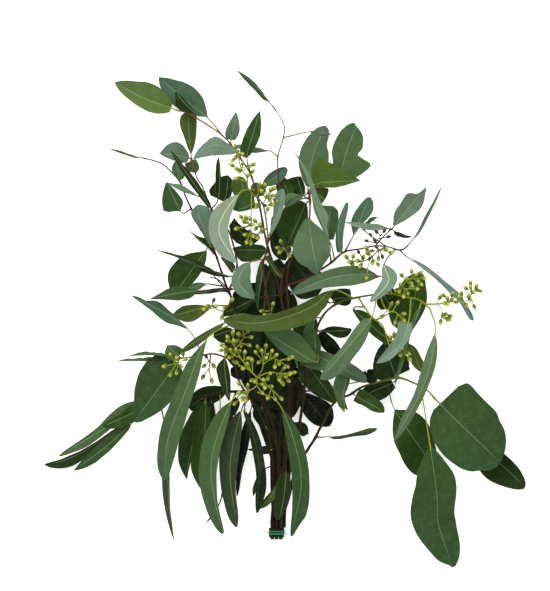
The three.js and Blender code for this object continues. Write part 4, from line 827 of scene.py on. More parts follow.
class Socket:
    def __init__(self, graph, plug):
        self.graph, self.plug = graph, plug

    def __add__(self, other):
        return self.graph.maths("ADD", self, other)

    def __sub__(self, other):
        return self.graph.maths("SUBTRACT", self, other)

    def __rsub__(self, other):
        return self.graph.maths("SUBTRACT", other, self)

    def __mul__(self, other):
        return self.graph.maths("MULTIPLY", self, other)

    def __truediv__(self, other):
        return self.graph.maths("DIVIDE", self, other)

    __radd__ = __add__
    __rmul__ = __mul__


class Graph:
    def __init__(self, tree):
        self.tree = tree

    def node(self, kind, settings=None, sockets=None, out=0):
        made = self.tree.nodes.new(kind)
        for name, value in (settings or {}).items():
            setattr(made, name, value)
        for key, value in (sockets or {}).items():
            if isinstance(value, Socket):
                self.tree.links.new(value.plug, made.inputs[key])
            else:
                made.inputs[key].default_value = value
        return Socket(self, made.outputs[out]) if made.outputs else None

    def maths(self, operation, *values):
        return self.node("ShaderNodeMath", {"operation": operation}, dict(enumerate(values)))

    def mixed(self, factor, a, b, blend="MIX"):
        settings = {"data_type": "RGBA", "blend_type": blend}
        return self.node("ShaderNodeMix", settings, {0: factor, 6: a, 7: b}, 2)

    def tinted(self, factor, colour, tone):  # mixes in a tone, given as it looks on a screen
        return self.mixed(factor, colour, tuple(screenColour(tone)))

    def dimmed(self, factor, colour, filtering):
        return self.mixed(factor, colour, (*filtering, 1), "MULTIPLY")

    def soft(self, value, low, high):  # 0 at low, 1 at high, smooth between
        sockets = {"Value": value, "From Min": low, "From Max": high}
        return self.node("ShaderNodeMapRange", {"interpolation_type": "SMOOTHSTEP"}, sockets)

    def attribute(self, name, out):
        return self.node("ShaderNodeAttribute", {"attribute_name": name}, None, out)

    def parts(self, vector):
        made = self.tree.nodes.new("ShaderNodeSeparateXYZ")
        self.tree.links.new(vector.plug, made.inputs[0])
        return [Socket(self, plug) for plug in made.outputs]

    def noise(self, scale, detail=3.0, vector=None):
        sockets = {"Scale": scale, "Detail": detail}
        if vector:
            sockets["Vector"] = vector
        else:
            sockets["Vector"] = self.node("ShaderNodeTexCoord", None, None, "Object")
        return self.node("ShaderNodeTexNoise", None, sockets, 0)

    def finish(self, sockets):
        shader = self.node("ShaderNodeBsdfPrincipled", None, sockets, "BSDF")
        self.node("ShaderNodeOutputMaterial", None, {"Surface": shader})

    def coat(self, look, colour, rough, height):  # finishes with the relief and shine of a look
        relief = {"Height": height, "Distance": look["reliefDepth"], "Strength": look["reliefStrength"]}
        self.finish({
            "Base Color": colour, "Roughness": rough, "Specular IOR Level": look["shine"],
            "Normal": self.node("ShaderNodeBump", None, relief),
        })


def newMaterial(name):
    material = bpy.data.materials.new(name)
    material.use_nodes = True
    material.node_tree.nodes.clear()
    return material, Graph(material.node_tree)


def newNodeGroup(name, inputs):  # returns the graph, and its inputs as sockets
    tree = bpy.data.node_groups.new(name, "GeometryNodeTree")
    tree.interface.new_socket("Geometry", in_out="INPUT", socket_type="NodeSocketGeometry")
    for label, kind in inputs.items():
        tree.interface.new_socket(label, in_out="INPUT", socket_type=kind)
    tree.interface.new_socket("Geometry", in_out="OUTPUT", socket_type="NodeSocketGeometry")
    graph = Graph(tree)
    entry = tree.nodes.new("NodeGroupInput")
    plugs = {plug.name: Socket(graph, plug) for plug in entry.outputs if plug.name}
    return graph, plugs


def closeNodeGroup(graph, geometry, material):
    realized = graph.node("GeometryNodeRealizeInstances", None, {0: geometry})
    dressed = graph.node("GeometryNodeSetMaterial", None, {"Geometry": realized, "Material": material})
    graph.node("NodeGroupOutput", None, {0: dressed})


def grown(name, source, graph, values):  # runs the nodes on a mesh and keeps a plain mesh
    carrier = bpy.data.objects.new(name + "_source", source)
    bpy.context.scene.collection.objects.link(carrier)
    modifier = carrier.modifiers.new("nodes", "NODES")
    modifier.node_group = graph.tree
    for item in graph.tree.interface.items_tree:
        if item.in_out == "INPUT" and item.name in values:
            modifier[item.identifier] = values[item.name]
    bpy.context.view_layer.update()
    graphNow = bpy.context.evaluated_depsgraph_get()
    mesh = bpy.data.meshes.new_from_object(
        carrier.evaluated_get(graphNow), preserve_all_data_layers=True, depsgraph=graphNow)
    bpy.data.objects.remove(carrier)
    mesh.name = name
    return standing(name, mesh)


def standing(name, mesh):
    piece = bpy.data.objects.new(name, mesh)
    bpy.context.scene.collection.objects.link(piece)
    return piece


def putValues(mesh, name, kind, values):
    field = {"FLOAT": "value", "FLOAT_VECTOR": "vector", "FLOAT_COLOR": "color"}[kind]
    layer = mesh.attributes.new(name, kind, "POINT")
    layer.data.foreach_set(field, np.asarray(values, np.float32).ravel())


def dressAs(piece, slot, *nodes):
    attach(piece, "root")
    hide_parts(*nodes)


leafLook = {
    "thickness": 0.5,
    "edgeThinning": 0.55,
    "steepest": 60,  # a blade tilted more than this is seen edge-on and has no outline of its own
    "tiltLength": 0.25,  # the part of the blade over which it turns to its tilt
    "cornerCut": 0.25,
    "sharpest": 0.35,  # an outline's corner sharper than this, as a cosine, stays a corner
    "creaseAngle": 50,
    "leastHalf": 0.3,  # the half width where a row misses the outline
    "leastMargin": 0.2,  # the part of the width between the midrib and either edge
    "rowSpacing": 2.3,
    "columnSpacing": 2.1,
    "fewestRows": 14,
    "fewestColumns": 8,
    "endCrowding": 0.6,  # how much the rows crowd towards both ends
    "fold": 0.26,  # how far the edge stands above the midrib, per millimetre of half width
    "foldPower": 1.3,
    "flatFold": 0.25,  # the part of the fold that a flat blade has
    "foldStart": 0.06,  # the part of the blade over which it opens
    "edgeWave": 0.09,
    "edgeWaves": 1.5,
    "fineWave": 0.05,
    "fineWaves": 4.5,
    "fineShift": 0.37,  # of one edge's waves against the other's
    "grooveDepth": 0.22,
    "ridgeHeight": 0.3,
    "midribRadius": 0.8,
    "footRadius": 0.56,  # the least half width near the petiole
    "footLength": 0.2,
    "lowest": 0.1,
    "lowestTop": 0.35,
    "inset": 0.05,  # how far inside the CAD box the blades stay
    "flatLowest": 0.7,
    "shapes": {  # powers of the half width from the base and from the tip
        "lance": (0.62, 0.85),
        "sickle": (0.7, 1.15),
        "oval": (0.5, 0.56),
        "broad": (0.5, 0.68),
        "spoon": (0.85, 0.42),
        "flat": (0.62, 0.85),
    },
}
leafFinish = {
    "scales": {"mottle": 150.0, "grain": 900.0, "bend": 160.0, "speck": 420.0, "speckPatch": 60.0},
    "limits": {  # where an effect starts, and where it is full
        "vein": (0.16, 0.02), "veinFromEdge": (0.4, 2.0), "veinFromMidrib": (0.5, 1.4),
        "midrib": (0.52, 0.16), "midribEnd": (1.0, 0.75), "margin": (0.45, 0.12),
        "mottle": (0.58, 0.3), "half": (-1.2, 1.2), "bloom": (0.45, 0.75),
        "speck": (0.74, 0.78), "speckPatch": (0.5, 0.62),
    },
    "veinSpacing": 4.6,
    "veinSlant": 0.95,
    "veinBend": 2.2,
    "veinStrength": 0.012,
    "ribStrengths": {"dim": 0.05, "plain": 0.2, "bright": 0.85},
    # leaves of these tones are in deep painted shade, and their midribs are dimmed with it
    "deepShadeTones": ("ink", "night"),
    "brightRibs": {"top_left": (20,), "top_right": (18,)},  # by leaf number
    "midribColour": (182, 196, 148),
    "marginColour": (84, 82, 52),
    "marginStrength": 0.35,
    "bloomColour": (150, 172, 160),
    "bloomStrength": 0.05,
    "undersideColour": (132, 154, 136),
    "undersideStrength": 0.45,
    "speckColour": (70, 52, 30),
    "speckStrength": 0.6,
    "toneGain": (0.71, 0.64, 0.55, 1.0),
    "toneSpread": 0.16,  # between the darkest and the lightest leaf of one tone
    "mottleFilter": (0.91, 0.92, 0.88),
    "baseFilter": (1.06, 1.03, 0.88),
    "tipFilter": (0.94, 0.97, 1.08),
    "awayFilter": (0.72, 0.76, 0.72),
    "awayStrength": 0.85,
    "relief": {"vein": 0.006, "midrib": 0.5, "grain": 0.08, "mottle": 0.15},
    "reliefDepth": 0.0004,
    "reliefStrength": 0.7,
    "roughness": {"least": 0.5, "mottle": 0.22, "chance": 0.06},
    "shine": 0.05,
}


def waxyLeafMaterial():
    material, g = newMaterial("waxyLeaf")
    look, scales, limits = leafFinish, leafFinish["scales"], leafFinish["limits"]
    across, along, fromEdge = g.parts(g.attribute("leafPlace", "Vector"))
    underside, chance, share = g.parts(g.attribute("leafKind", "Vector"))
    tone = g.attribute("leafTone", "Color")
    away = g.maths("ABSOLUTE", across)
    mottle = g.noise(scales["mottle"], 4.0)
    grain = g.noise(scales["grain"], 3.0)
    # Side veins leave the midrib aslant and bend towards the tip.
    bend = g.noise(scales["bend"], 2.0) * look["veinBend"]
    phase = g.maths("FRACT", (along - away * look["veinSlant"] + bend) / look["veinSpacing"])
    vein = g.soft(g.maths("ABSOLUTE", phase - 0.5), *limits["vein"])
    vein = vein * g.soft(fromEdge, *limits["veinFromEdge"]) * g.soft(away, *limits["veinFromMidrib"])
    midrib = g.soft(away, *limits["midrib"]) * g.soft(share, *limits["midribEnd"])
    margin = g.soft(fromEdge, *limits["margin"])
    bloom = g.soft(mottle, *limits["bloom"]) * look["bloomStrength"]
    speck = g.soft(g.noise(scales["speck"], 1.0), *limits["speck"])
    speck = speck * g.soft(g.noise(scales["speckPatch"], 1.0), *limits["speckPatch"])
    colour = g.dimmed(g.soft(mottle, *limits["mottle"]), tone, look["mottleFilter"])
    # A blade is a little yellower at its base and bluer towards its tip.
    cast = g.mixed(share, (*look["baseFilter"], 1), (*look["tipFilter"], 1))
    colour = g.mixed(1.0, colour, cast, "MULTIPLY")
    # One half of a blade faces the light more than the other.
    half = g.soft(across, *limits["half"])
    turnedAway = half * chance + (1.0 - half) * (1.0 - chance)
    colour = g.dimmed(turnedAway * look["awayStrength"], colour, look["awayFilter"])
    colour = g.mixed(bloom, colour, tuple(screenColour(look["bloomColour"]) * look["toneGain"]))
    colour = g.tinted(underside * look["undersideStrength"], colour, look["undersideColour"])
    colour = g.tinted(vein * look["veinStrength"], colour, look["midribColour"])
    colour = g.tinted(midrib * g.attribute("leafTone", "Alpha"), colour, look["midribColour"])
    colour = g.tinted(margin * look["marginStrength"], colour, look["marginColour"])
    colour = g.tinted(speck * look["speckStrength"], colour, look["speckColour"])
    relief, rough = look["relief"], look["roughness"]
    height = vein * relief["vein"] + midrib * relief["midrib"]
    height = height + grain * relief["grain"] + mottle * relief["mottle"]
    g.coat(look, colour, rough["least"] + mottle * rough["mottle"] + chance * rough["chance"], height)
    return material


def softened(outline):  # cuts its corners twice, apart from the sharp ones
    points, cut = np.array(outline, float).reshape(-1, 2), leafLook["cornerCut"]
    for _ in range(2):
        kept = []
        for before, here, after in zip(np.roll(points, 1, axis=0), points, np.roll(points, -1, axis=0)):
            sharp = unit(here - before) @ unit(after - here) < leafLook["sharpest"]
            kept += [here] if sharp else [here + (other - here) * cut for other in (before, after)]
        points = np.array(kept)
    return points * (1, -1) + (-bunch["middleAcross"], bunch["middleDown"])


def evened(values):
    padded = np.concatenate([values[:1], values, values[-1:]])
    return (padded[:-2] + 2 * padded[1:-1] + padded[2:]) / 4


def edgesIn(centre, side, outline):  # how far along each row's side the outline lies, left and right
    edges = np.roll(outline, -1, axis=0) - outline
    least, margin = leafLook["leastHalf"], leafLook["leastMargin"]
    pairs = []
    for spot, way in zip(centre[:, :2], side[:, :2]):
        off = outline - spot
        slant = way[0] * edges[:, 1] - way[1] * edges[:, 0]
        slant = np.where(np.abs(slant) < 1e-9, 1e-9, slant)
        reach = (off[:, 0] * edges[:, 1] - off[:, 1] * edges[:, 0]) / slant
        share = (off[:, 0] * way[1] - off[:, 1] * way[0]) / slant
        met = np.sort(reach[(share >= 0) & (share < 1)])
        spans = list(zip(met[::2], met[1::2])) or [(-least, least)]
        pairs.append(min(spans, key=lambda span: max(span[0], -span[1], 0)))
    left, right = (evened(ends) for ends in np.array(pairs).T)
    middle = np.clip(0, left + margin * (right - left), right - margin * (right - left))
    return left, right, evened(middle)


def bladeOf(leaf, traced, start, number, ribStrength):
    look = leafLook
    shape, width, tiltDegrees, tone, _, *blade = leaf
    route = Route([start, *map(place, blade)])
    chords = np.linalg.norm(np.diff(route.points, axis=0), axis=1)
    petioleShare = chords[0] / chords.sum()
    length = route.travel[-1] * (1 - petioleShare)
    rows = max(look["fewestRows"], round(length / look["rowSpacing"]))
    columns = 2 * round(max(look["fewestColumns"], width / look["columnSpacing"]) / 2) + 1
    even = np.linspace(0, 1, rows + 1)
    v = even + look["endCrowding"] * (0.5 - 0.5 * np.cos(math.pi * even) - even)
    share = route.evenly(petioleShare + (1 - petioleShare) * v)
    centre, tangent = route.at(share), route.tangent(share)
    isFlat = shape == "flat"
    isSteep = abs(tiltDegrees) > look["steepest"]
    turning = np.minimum(1, v / look["tiltLength"] + isSteep)
    side, normal = crossDirections(tangent, math.radians(tiltDegrees) * turning)
    if isFlat:
        centre[:, 2] = np.maximum(centre[:, 2], look["flatLowest"])
        normal[:] = (0, 0, 1)
    if traced and not isSteep:
        left, right, middle = edgesIn(centre, side, softened(traced))
    else:
        base, tip = look["shapes"][shape if traced is None else "lance"]
        widest = base / (base + tip)
        right = width / 2 * v**base * (1 - v) ** tip / (widest**base * (1 - widest) ** tip)
        left, middle = -right, 0 * right
    foot = look["footRadius"] * (v < look["footLength"])
    left, right = np.minimum(left, middle - foot), np.maximum(right, middle + foot)
    left, right, middle, v = (values[:, None] for values in (left, right, middle, v))
    halfWidth = (right - left) / 2
    s = np.linspace(-1, 1, columns)[None, :]
    turn = bunch["golden"] * number  # gives each leaf waves and a shade of its own
    opening = np.minimum(1, v / look["foldStart"])
    fold = look["fold"] * (look["flatFold"] if isFlat else 1)
    lift = fold * halfWidth * np.abs(s) ** look["foldPower"] * opening
    wave = np.sin(2 * math.pi * (look["edgeWaves"] * v + turn))
    lift = lift - look["edgeWave"] * halfWidth * wave * s
    shift = np.where(s > 0, look["fineShift"], 0)
    ripple = np.sin(2 * math.pi * (look["fineWaves"] * v + 3 * turn + shift))
    lift = lift + look["fineWave"] * halfWidth * ripple * s**2 * opening
    across = np.where(s < 0, s * (middle - left), s * (right - middle))  # from the midrib
    rib = np.exp(-((across / look["midribRadius"]) ** 2)) * (1 - v)
    half = look["thickness"] / 2 * (1 - look["edgeThinning"] * np.abs(s) ** 3)

    def sheet(offset):
        sideways = side[:, None] * (middle + across)[..., None]
        return centre[:, None] + sideways + normal[:, None] * (lift + offset)[..., None]

    top = sheet(half - look["grooveDepth"] * rib)
    bottom = sheet(-half - look["ridgeHeight"] * rib)
    top[..., 2] = np.maximum(top[..., 2], look["lowestTop"])
    bottom[..., 2] = np.maximum(bottom[..., 2], look["lowest"])
    ring = np.concatenate([top, bottom[:, ::-1]], axis=1)[:-1]
    tipPoint = (top[-1:, 0] + bottom[-1:, 0]) / 2
    points = np.concatenate([ring.reshape(-1, 3), tipPoint])
    low, high = np.array(cadBox) * 1000
    points[:, :2] = np.clip(points[:, :2], low[:2] + look["inset"], high[:2] - look["inset"])
    points[:, 2] = np.minimum(points[:, 2], high[2] - look["inset"])

    size = 2 * columns
    index = np.arange(rows * size).reshape(rows, size)
    a, d = index[:-1], index[1:]
    b, c = np.roll(a, -1, axis=1), np.roll(d, -1, axis=1)
    faces = np.stack([a, d, c, b], axis=-1).reshape(-1, 4).tolist()
    faces += [[k, k + 1, size - 2 - k, size - 1 - k] for k in range(columns - 1)]
    last = index[-1]
    faces += [[last[k], rows * size, last[(k + 1) % size]] for k in range(size)]

    def asRings(top, bottom):
        both = np.concatenate([top, bottom[:, ::-1]], axis=1)[:-1]
        return np.append(both.ravel(), both[-1, 0])

    grid = np.ones_like(across)
    alongGrid, edgeGrid = v * length * grid, (1 - np.abs(s)) * halfWidth
    placeOf = np.stack([asRings(x, x) for x in (across, alongGrid, edgeGrid)], axis=-1)
    chance = (turn * 7) % 1
    kindOf = np.stack([asRings(0 * grid, grid), asRings(chance * grid, chance * grid),
                       asRings(v * grid, v * grid)], axis=-1)
    toneOf = np.tile(screenColour(leafTones[tone]) * leafFinish["toneGain"], (len(points), 1))
    toneOf[:, :3] *= 1 + leafFinish["toneSpread"] * (chance - 0.5)
    toneOf[:, 3] = ribStrength
    return points, faces, placeOf, kindOf, toneOf


def leavesPiece(name, routes, material):
    groups = []
    for number, (leaf, traced) in enumerate(leavesOf[name]):
        rib = "dim" if leaf[3] in leafFinish["deepShadeTones"] else "plain"
        if number in leafFinish["brightRibs"].get(name, ()):
            rib = "bright"
        strength = leafFinish["ribStrengths"][rib]
        groups.append(bladeOf(leaf, traced, nearestOn(routes, leaf[4]), number, strength))
    faces, count = [], 0
    for points, own, *_ in groups:
        faces += [[count + k for k in face] for face in own]
        count += len(points)
    points, placeOf, kindOf, toneOf = (
        np.concatenate([group[k] for group in groups]) for k in (0, 2, 3, 4))
    mesh = bpy.data.meshes.new("leaves_" + name)
    mesh.from_pydata((points / 1000).tolist(), [], faces)
    putValues(mesh, "leafPlace", "FLOAT_VECTOR", placeOf)
    putValues(mesh, "leafKind", "FLOAT_VECTOR", kindOf)
    putValues(mesh, "leafTone", "FLOAT_COLOR", toneOf)
    mesh.materials.append(material)
    mesh.shade_smooth()
    mesh.set_sharp_from_angle(angle=math.radians(leafLook["creaseAngle"]))
    piece = standing("leaves_" + name, mesh)
    dressAs(piece, "leaves", "leafy_stem_" + name)
    return piece


leavesOf = {}
for name, stem in stems.items():
    traced = outlines.get(name, {})
    leavesOf[name] = [(leaf, traced.get(number)) for number, leaf in enumerate(stem["leaves"])]
    leavesOf[name] += [(leaf, leaf[0]) for leaf in innerLeaves.get(name, [])]

waxyLeaf = waxyLeafMaterial()
for name in stems:
    piece = leavesPiece(name, stemRoutes[name], waxyLeaf)
    print("leaves of", name, len(piece.data.polygons), "faces")


twigLook = {
    "step": 2.5,
    "stemSides": 9,
    "petioleStart": 0.85,
    "petioleEnd": 0.65,
    "petioleTones": {
        "top_left": ("amber", "orange"), "left": ("shade", "orange"), "top_right": ("shade", "orange"),
        "right": ("lime", "yellow"), "lower_right": ("lime", "yellow"), "lower_left": ("lime", "yellow"),
    },
    # petioles of leaves in these dark tones start in the shade tone, painted shade like their leaves
    "shadedPetiolesUnder": ("dark", "ink", "night", "deep", "slate"),  # tones of leaves with a dull petiole
    "greenPetioles": {"top_left": (0, 11, 20), "left": (8, 13, 14, 20), "top_right": (2, 3, 9)},
    "midribShare": 0.03,  # how far a petiole runs on under its blade
    "fewestSteps": 4,
    "thinning": 0.12,  # of the later part of a twig
    "thinningStart": 0.2,
    "thinningLength": 1 / 3,
    "nodeSwelling": 0.28,
    "nodeReach": 2.6,
    "tonePower": 5,  # how late along a twig its tone turns to that of the tip
    "toneGain": 0.68,
}
barkFinish = {
    "scales": {"streak": 900.0, "patch": 120.0, "dot": 420.0},
    "streakStretch": (1.0, 0.25, 1.0),
    "limits": {"streak": (0.45, 0.7), "dot": (0.2, 0.12), "dotPatch": (0.45, 0.6)},
    "streakColour": (60, 36, 28),
    "streakStrength": 0.5,
    "streakRelief": 0.6,
    "dotColour": (150, 120, 84),
    "dotStrength": 0.35,
    "cutColour": (196, 182, 132),
    "cutDepth": 0.2,
    "reliefDepth": 0.0003,
    "reliefStrength": 0.6,
    "roughness": {"least": 0.45, "streak": 0.25},
    "shine": 0.1,
}


def barkMaterial():
    look, scales, limits = barkFinish, barkFinish["scales"], barkFinish["limits"]
    material, g = newMaterial("smoothBark")
    tone = g.attribute("twigTone", "Color")
    where = g.node("ShaderNodeTexCoord", None, None, "Object")
    long = g.node("ShaderNodeMapping", None, {"Vector": where, "Scale": look["streakStretch"]})
    streak = g.noise(scales["streak"], 3.0, long)
    patch = g.noise(scales["patch"], 2.0)
    dots = g.node("ShaderNodeTexVoronoi", None, {"Vector": where, "Scale": scales["dot"]}, "Distance")
    dot = g.soft(dots, *limits["dot"]) * g.soft(patch, *limits["dotPatch"])
    streaks = g.soft(streak, *limits["streak"]) * look["streakStrength"]
    colour = g.tinted(streaks, tone, look["streakColour"])
    colour = g.tinted(dot * look["dotStrength"], colour, look["dotColour"])
    _, y, _ = g.parts(where)
    cutEnd = (bunch["middleDown"] - bunch["cutEndDown"] + look["cutDepth"]) / 1000
    cut = g.soft(y, cutEnd, cutEnd - 0.0001)
    colour = g.tinted(cut, colour, look["cutColour"])
    rough = look["roughness"]
    g.coat(look, colour, rough["least"] + streak * rough["streak"], streak * look["streakRelief"] + dot)
    return material


def twigNodes():
    inputs = {"Sides": "NodeSocketInt", "Thickness": "NodeSocketFloat", "Bark": "NodeSocketMaterial"}
    g, plug = newNodeGroup("growTwigs", inputs)
    radius = g.node("GeometryNodeInputNamedAttribute", {"data_type": "FLOAT"}, {"Name": "twigRadius"})
    line = g.node("GeometryNodeMeshToCurve", None, {"Mesh": plug["Geometry"]})
    rim = {"Resolution": plug["Sides"], "Radius": 1.0}
    circle = g.node("GeometryNodeCurvePrimitiveCircle", None, rim)
    sockets = {"Curve": line, "Profile Curve": circle, "Scale": radius * plug["Thickness"],
               "Fill Caps": True}
    tube = g.node("GeometryNodeCurveToMesh", None, sockets)
    smooth = g.node("GeometryNodeSetShadeSmooth", None, {"Geometry": tube})
    closeNodeGroup(g, smooth, plug["Bark"])
    return g


def lineAlong(route, start, end, radii, tones, swellings=()):
    look = twigLook
    length = route.travel[-1] * (end - start)
    steps = max(look["fewestSteps"], round(length / look["step"]))
    u = np.linspace(start, end, steps + 1)
    points = route.at(route.evenly(u))
    blend = (u - start) / (end - start)
    radius = radii[0] + (radii[1] - radii[0]) * blend
    later = np.clip((blend - look["thinningStart"]) / look["thinningLength"], 0, 1)
    radius = radius * (1 - look["thinning"] * later)
    for spot in swellings:
        apart = np.linalg.norm(points - spot, axis=1)
        radius = radius * (1 + look["nodeSwelling"] * np.exp(-((apart / look["nodeReach"]) ** 2)))
    tone = tones[0] + (tones[1] - tones[0]) * blend[:, None] ** look["tonePower"]
    points[:, 2] = np.maximum(points[:, 2], radius + leafLook["lowest"])
    return points, radius, tone


def twigsPiece(name, lines, graph, material, sides, slot, node):
    points = np.concatenate([line[0] for line in lines])
    edges, count = [], 0
    for line in lines:
        edges += [[count + k, count + k + 1] for k in range(len(line[0]) - 1)]
        count += len(line[0])
    mesh = bpy.data.meshes.new(name + "_lines")
    mesh.from_pydata((points / 1000).tolist(), edges, [])
    putValues(mesh, "twigRadius", "FLOAT", np.concatenate([line[1] for line in lines]) / 1000)
    putValues(mesh, "twigTone", "FLOAT_COLOR", np.concatenate([line[2] for line in lines]))
    piece = grown(name, mesh, graph, {"Sides": sides, "Thickness": 1.0, "Bark": material})
    dressAs(piece, slot, node)
    return piece


def twigTone(tone):
    light = screenColour(twigTones[tone]) * twigLook["toneGain"]
    return np.append(light[:3], 1.0)


smoothBark = barkMaterial()
growTwigs = twigNodes()
for name, stem in stems.items():
    routes = stemRoutes[name]
    leaves = [leaf for leaf, _ in leavesOf[name]]
    starts = [nearestOn(routes, leaf[4]) for leaf in leaves]
    lines = []
    for (r0, r1, tone0, tone1, *_), route in zip(stem["twigs"], routes):
        tones = twigTone(tone0), twigTone(tone1)
        lines.append(lineAlong(route, 0, 1, (r0, r1), tones, starts))
    for number, (leaf, start) in enumerate(zip(leaves, starts)):
        route = Route([start, *map(place, leaf[5:])])
        chords = np.linalg.norm(np.diff(route.points, axis=0), axis=1)
        share = chords[0] / chords.sum()
        reach = share + (1 - share) * twigLook["midribShare"]
        isGreen = number in twigLook["greenPetioles"].get(name, ())
        tones = [twigTone(tone) for tone in twigLook["petioleTones"]["right" if isGreen else name]]
        # painted shade: a dark leaf's petiole starts in the shade tone
        if leaf[3] in twigLook["shadedPetiolesUnder"]:
            tones[0] = twigTone("shade")
        radii = twigLook["petioleStart"], twigLook["petioleEnd"]
        lines.append(lineAlong(route, 0, reach, radii, tones))
    piece = twigsPiece("twigs_" + name, lines, growTwigs, smoothBark, twigLook["stemSides"],
                       "bark", "leafy_stem_" + name)
    print("twigs of", name, len(piece.data.polygons), "faces")


budLook = {
    "radius": 2.25,
    "length": 7.2,
    "flatness": 0.35,  # how much of its climb a bud keeps
    "sides": 10,
    "smallest": 0.82,
    "largest": 1.0,
    "seed": 11,
    "umbelLength": 5,
    "stalkRadius": 0.58,
    "stalkSides": 6,
    "seat": 0.42,  # how far under a bud's middle its stalk ends, as a share of the length
    # [share of the length, share of the radius] from the stalk to the pointed cap
    "profile": [(0.0, 0.2), (0.08, 0.5), (0.25, 0.86), (0.42, 1.0), (0.54, 0.97), (0.58, 1.0),
                (0.74, 0.72), (0.9, 0.3)],
}
budFinish = {
    "spotScale": 700.0,
    "limits": {"cap": (0.4, 0.62), "ring": (0.06, 0.02), "tip": (0.86, 1.0), "spot": (0.55, 0.75)},
    "cupColour": (86, 100, 12),
    "capColour": (154, 160, 28),
    "ringColour": (88, 82, 16),
    "tipColour": (140, 128, 60),
    "tipStrength": 0.6,
    "ringAt": 0.56,  # the seam between cup and cap
    "ringStrength": 0.55,
    "shadeFilter": (0.62, 0.72, 0.5),
    "shadeStrength": 0.6,
    "spotFilter": (0.7, 0.76, 0.6),
    "spotStrength": 0.4,
    "driedColour": (30, 16, 10),
    "driedStrength": 0.95,
    "driedSize": 0.85,
    "reliefDepth": 0.0002,
    "reliefStrength": 0.5,
    "roughness": {"least": 0.4, "spot": 0.2},
    "shine": 0.3,
}


def budMaterial():
    look, limits = budFinish, budFinish["limits"]
    material, g = newMaterial("yellowBud")
    along = g.attribute("budPlace", "Fac")
    shade = g.attribute("budShade", "Fac")
    spots = g.noise(look["spotScale"], 2.0)
    cup = tuple(screenColour(look["cupColour"]))
    colour = g.tinted(g.soft(along, *limits["cap"]), cup, look["capColour"])
    ring = g.soft(g.maths("ABSOLUTE", along - look["ringAt"]), *limits["ring"])
    colour = g.tinted(ring * look["ringStrength"], colour, look["ringColour"])
    colour = g.tinted(g.soft(along, *limits["tip"]) * look["tipStrength"], colour, look["tipColour"])
    colour = g.dimmed(shade * look["shadeStrength"], colour, look["shadeFilter"])
    spotted = g.soft(spots, *limits["spot"]) * look["spotStrength"]
    colour = g.dimmed(spotted, colour, look["spotFilter"])
    dried = g.attribute("budAge", "Fac") * look["driedStrength"]
    colour = g.tinted(dried, colour, look["driedColour"])
    rough = look["roughness"]
    g.coat(look, colour, rough["least"] + spots * rough["spot"], spots)
    return material


def budPrototype():
    look = budLook
    sides = look["sides"]
    rings = []
    for along, wide in look["profile"]:
        angles = 2 * math.pi * np.arange(sides) / sides
        r = wide * look["radius"]
        z = (along - 0.5) * look["length"]
        rings.append(np.stack([r * np.cos(angles), r * np.sin(angles), np.full(sides, z)], axis=-1))
    points = np.concatenate([*rings, [[0, 0, -look["length"] / 2]], [[0, 0, look["length"] / 2]]])
    count = len(look["profile"]) * sides
    faces = []
    for i in range(len(look["profile"]) - 1):
        for k in range(sides):
            a, b = i * sides + k, i * sides + (k + 1) % sides
            faces.append([a, b, b + sides, a + sides])
    for k in range(sides):
        faces.append([count, (k + 1) % sides, k])
        faces.append([count + 1, count - sides + k, count - sides + (k + 1) % sides])
    mesh = bpy.data.meshes.new("bud")
    mesh.from_pydata((points / 1000).tolist(), [], faces)
    shares = np.repeat([along for along, _ in look["profile"]], sides).tolist() + [0.0, 1.0]
    putValues(mesh, "budPlace", "FLOAT", shares)
    return standing("bud", mesh)


def budNodes():
    inputs = {"Bud": "NodeSocketObject", "Smallest": "NodeSocketFloat", "Largest": "NodeSocketFloat",
              "Seed": "NodeSocketInt", "Skin": "NodeSocketMaterial"}
    g, plug = newNodeGroup("setBuds", inputs)
    bud = g.node("GeometryNodeObjectInfo", None, {"Object": plug["Bud"]}, "Geometry")
    aim = g.node("GeometryNodeInputNamedAttribute", {"data_type": "FLOAT_VECTOR"}, {"Name": "budAim"})
    turn = g.node("FunctionNodeAlignRotationToVector", {"axis": "Z"}, {"Vector": aim})
    size = g.node("FunctionNodeRandomValue", {"data_type": "FLOAT"},
                  {2: plug["Smallest"], 3: plug["Largest"], "Seed": plug["Seed"]}, 1)
    age = g.node("GeometryNodeInputNamedAttribute", {"data_type": "FLOAT"}, {"Name": "budAge"})
    size = size * (1.0 - age * (1 - budFinish["driedSize"]))
    sockets = {"Points": plug["Geometry"], "Instance": bud, "Rotation": turn, "Scale": size}
    crowd = g.node("GeometryNodeInstanceOnPoints", None, sockets)
    shade = g.node("FunctionNodeRandomValue", {"data_type": "FLOAT"}, {"Seed": plug["Seed"] + 1}, 1)
    stored = g.node("GeometryNodeStoreNamedAttribute", {"data_type": "FLOAT", "domain": "INSTANCE"},
                    {"Geometry": crowd, "Name": "budShade", "Value": shade})
    real = g.node("GeometryNodeRealizeInstances", None, {0: stored})
    smooth = g.node("GeometryNodeSetShadeSmooth", None, {"Geometry": real})
    closeNodeGroup(g, smooth, plug["Skin"])
    return g


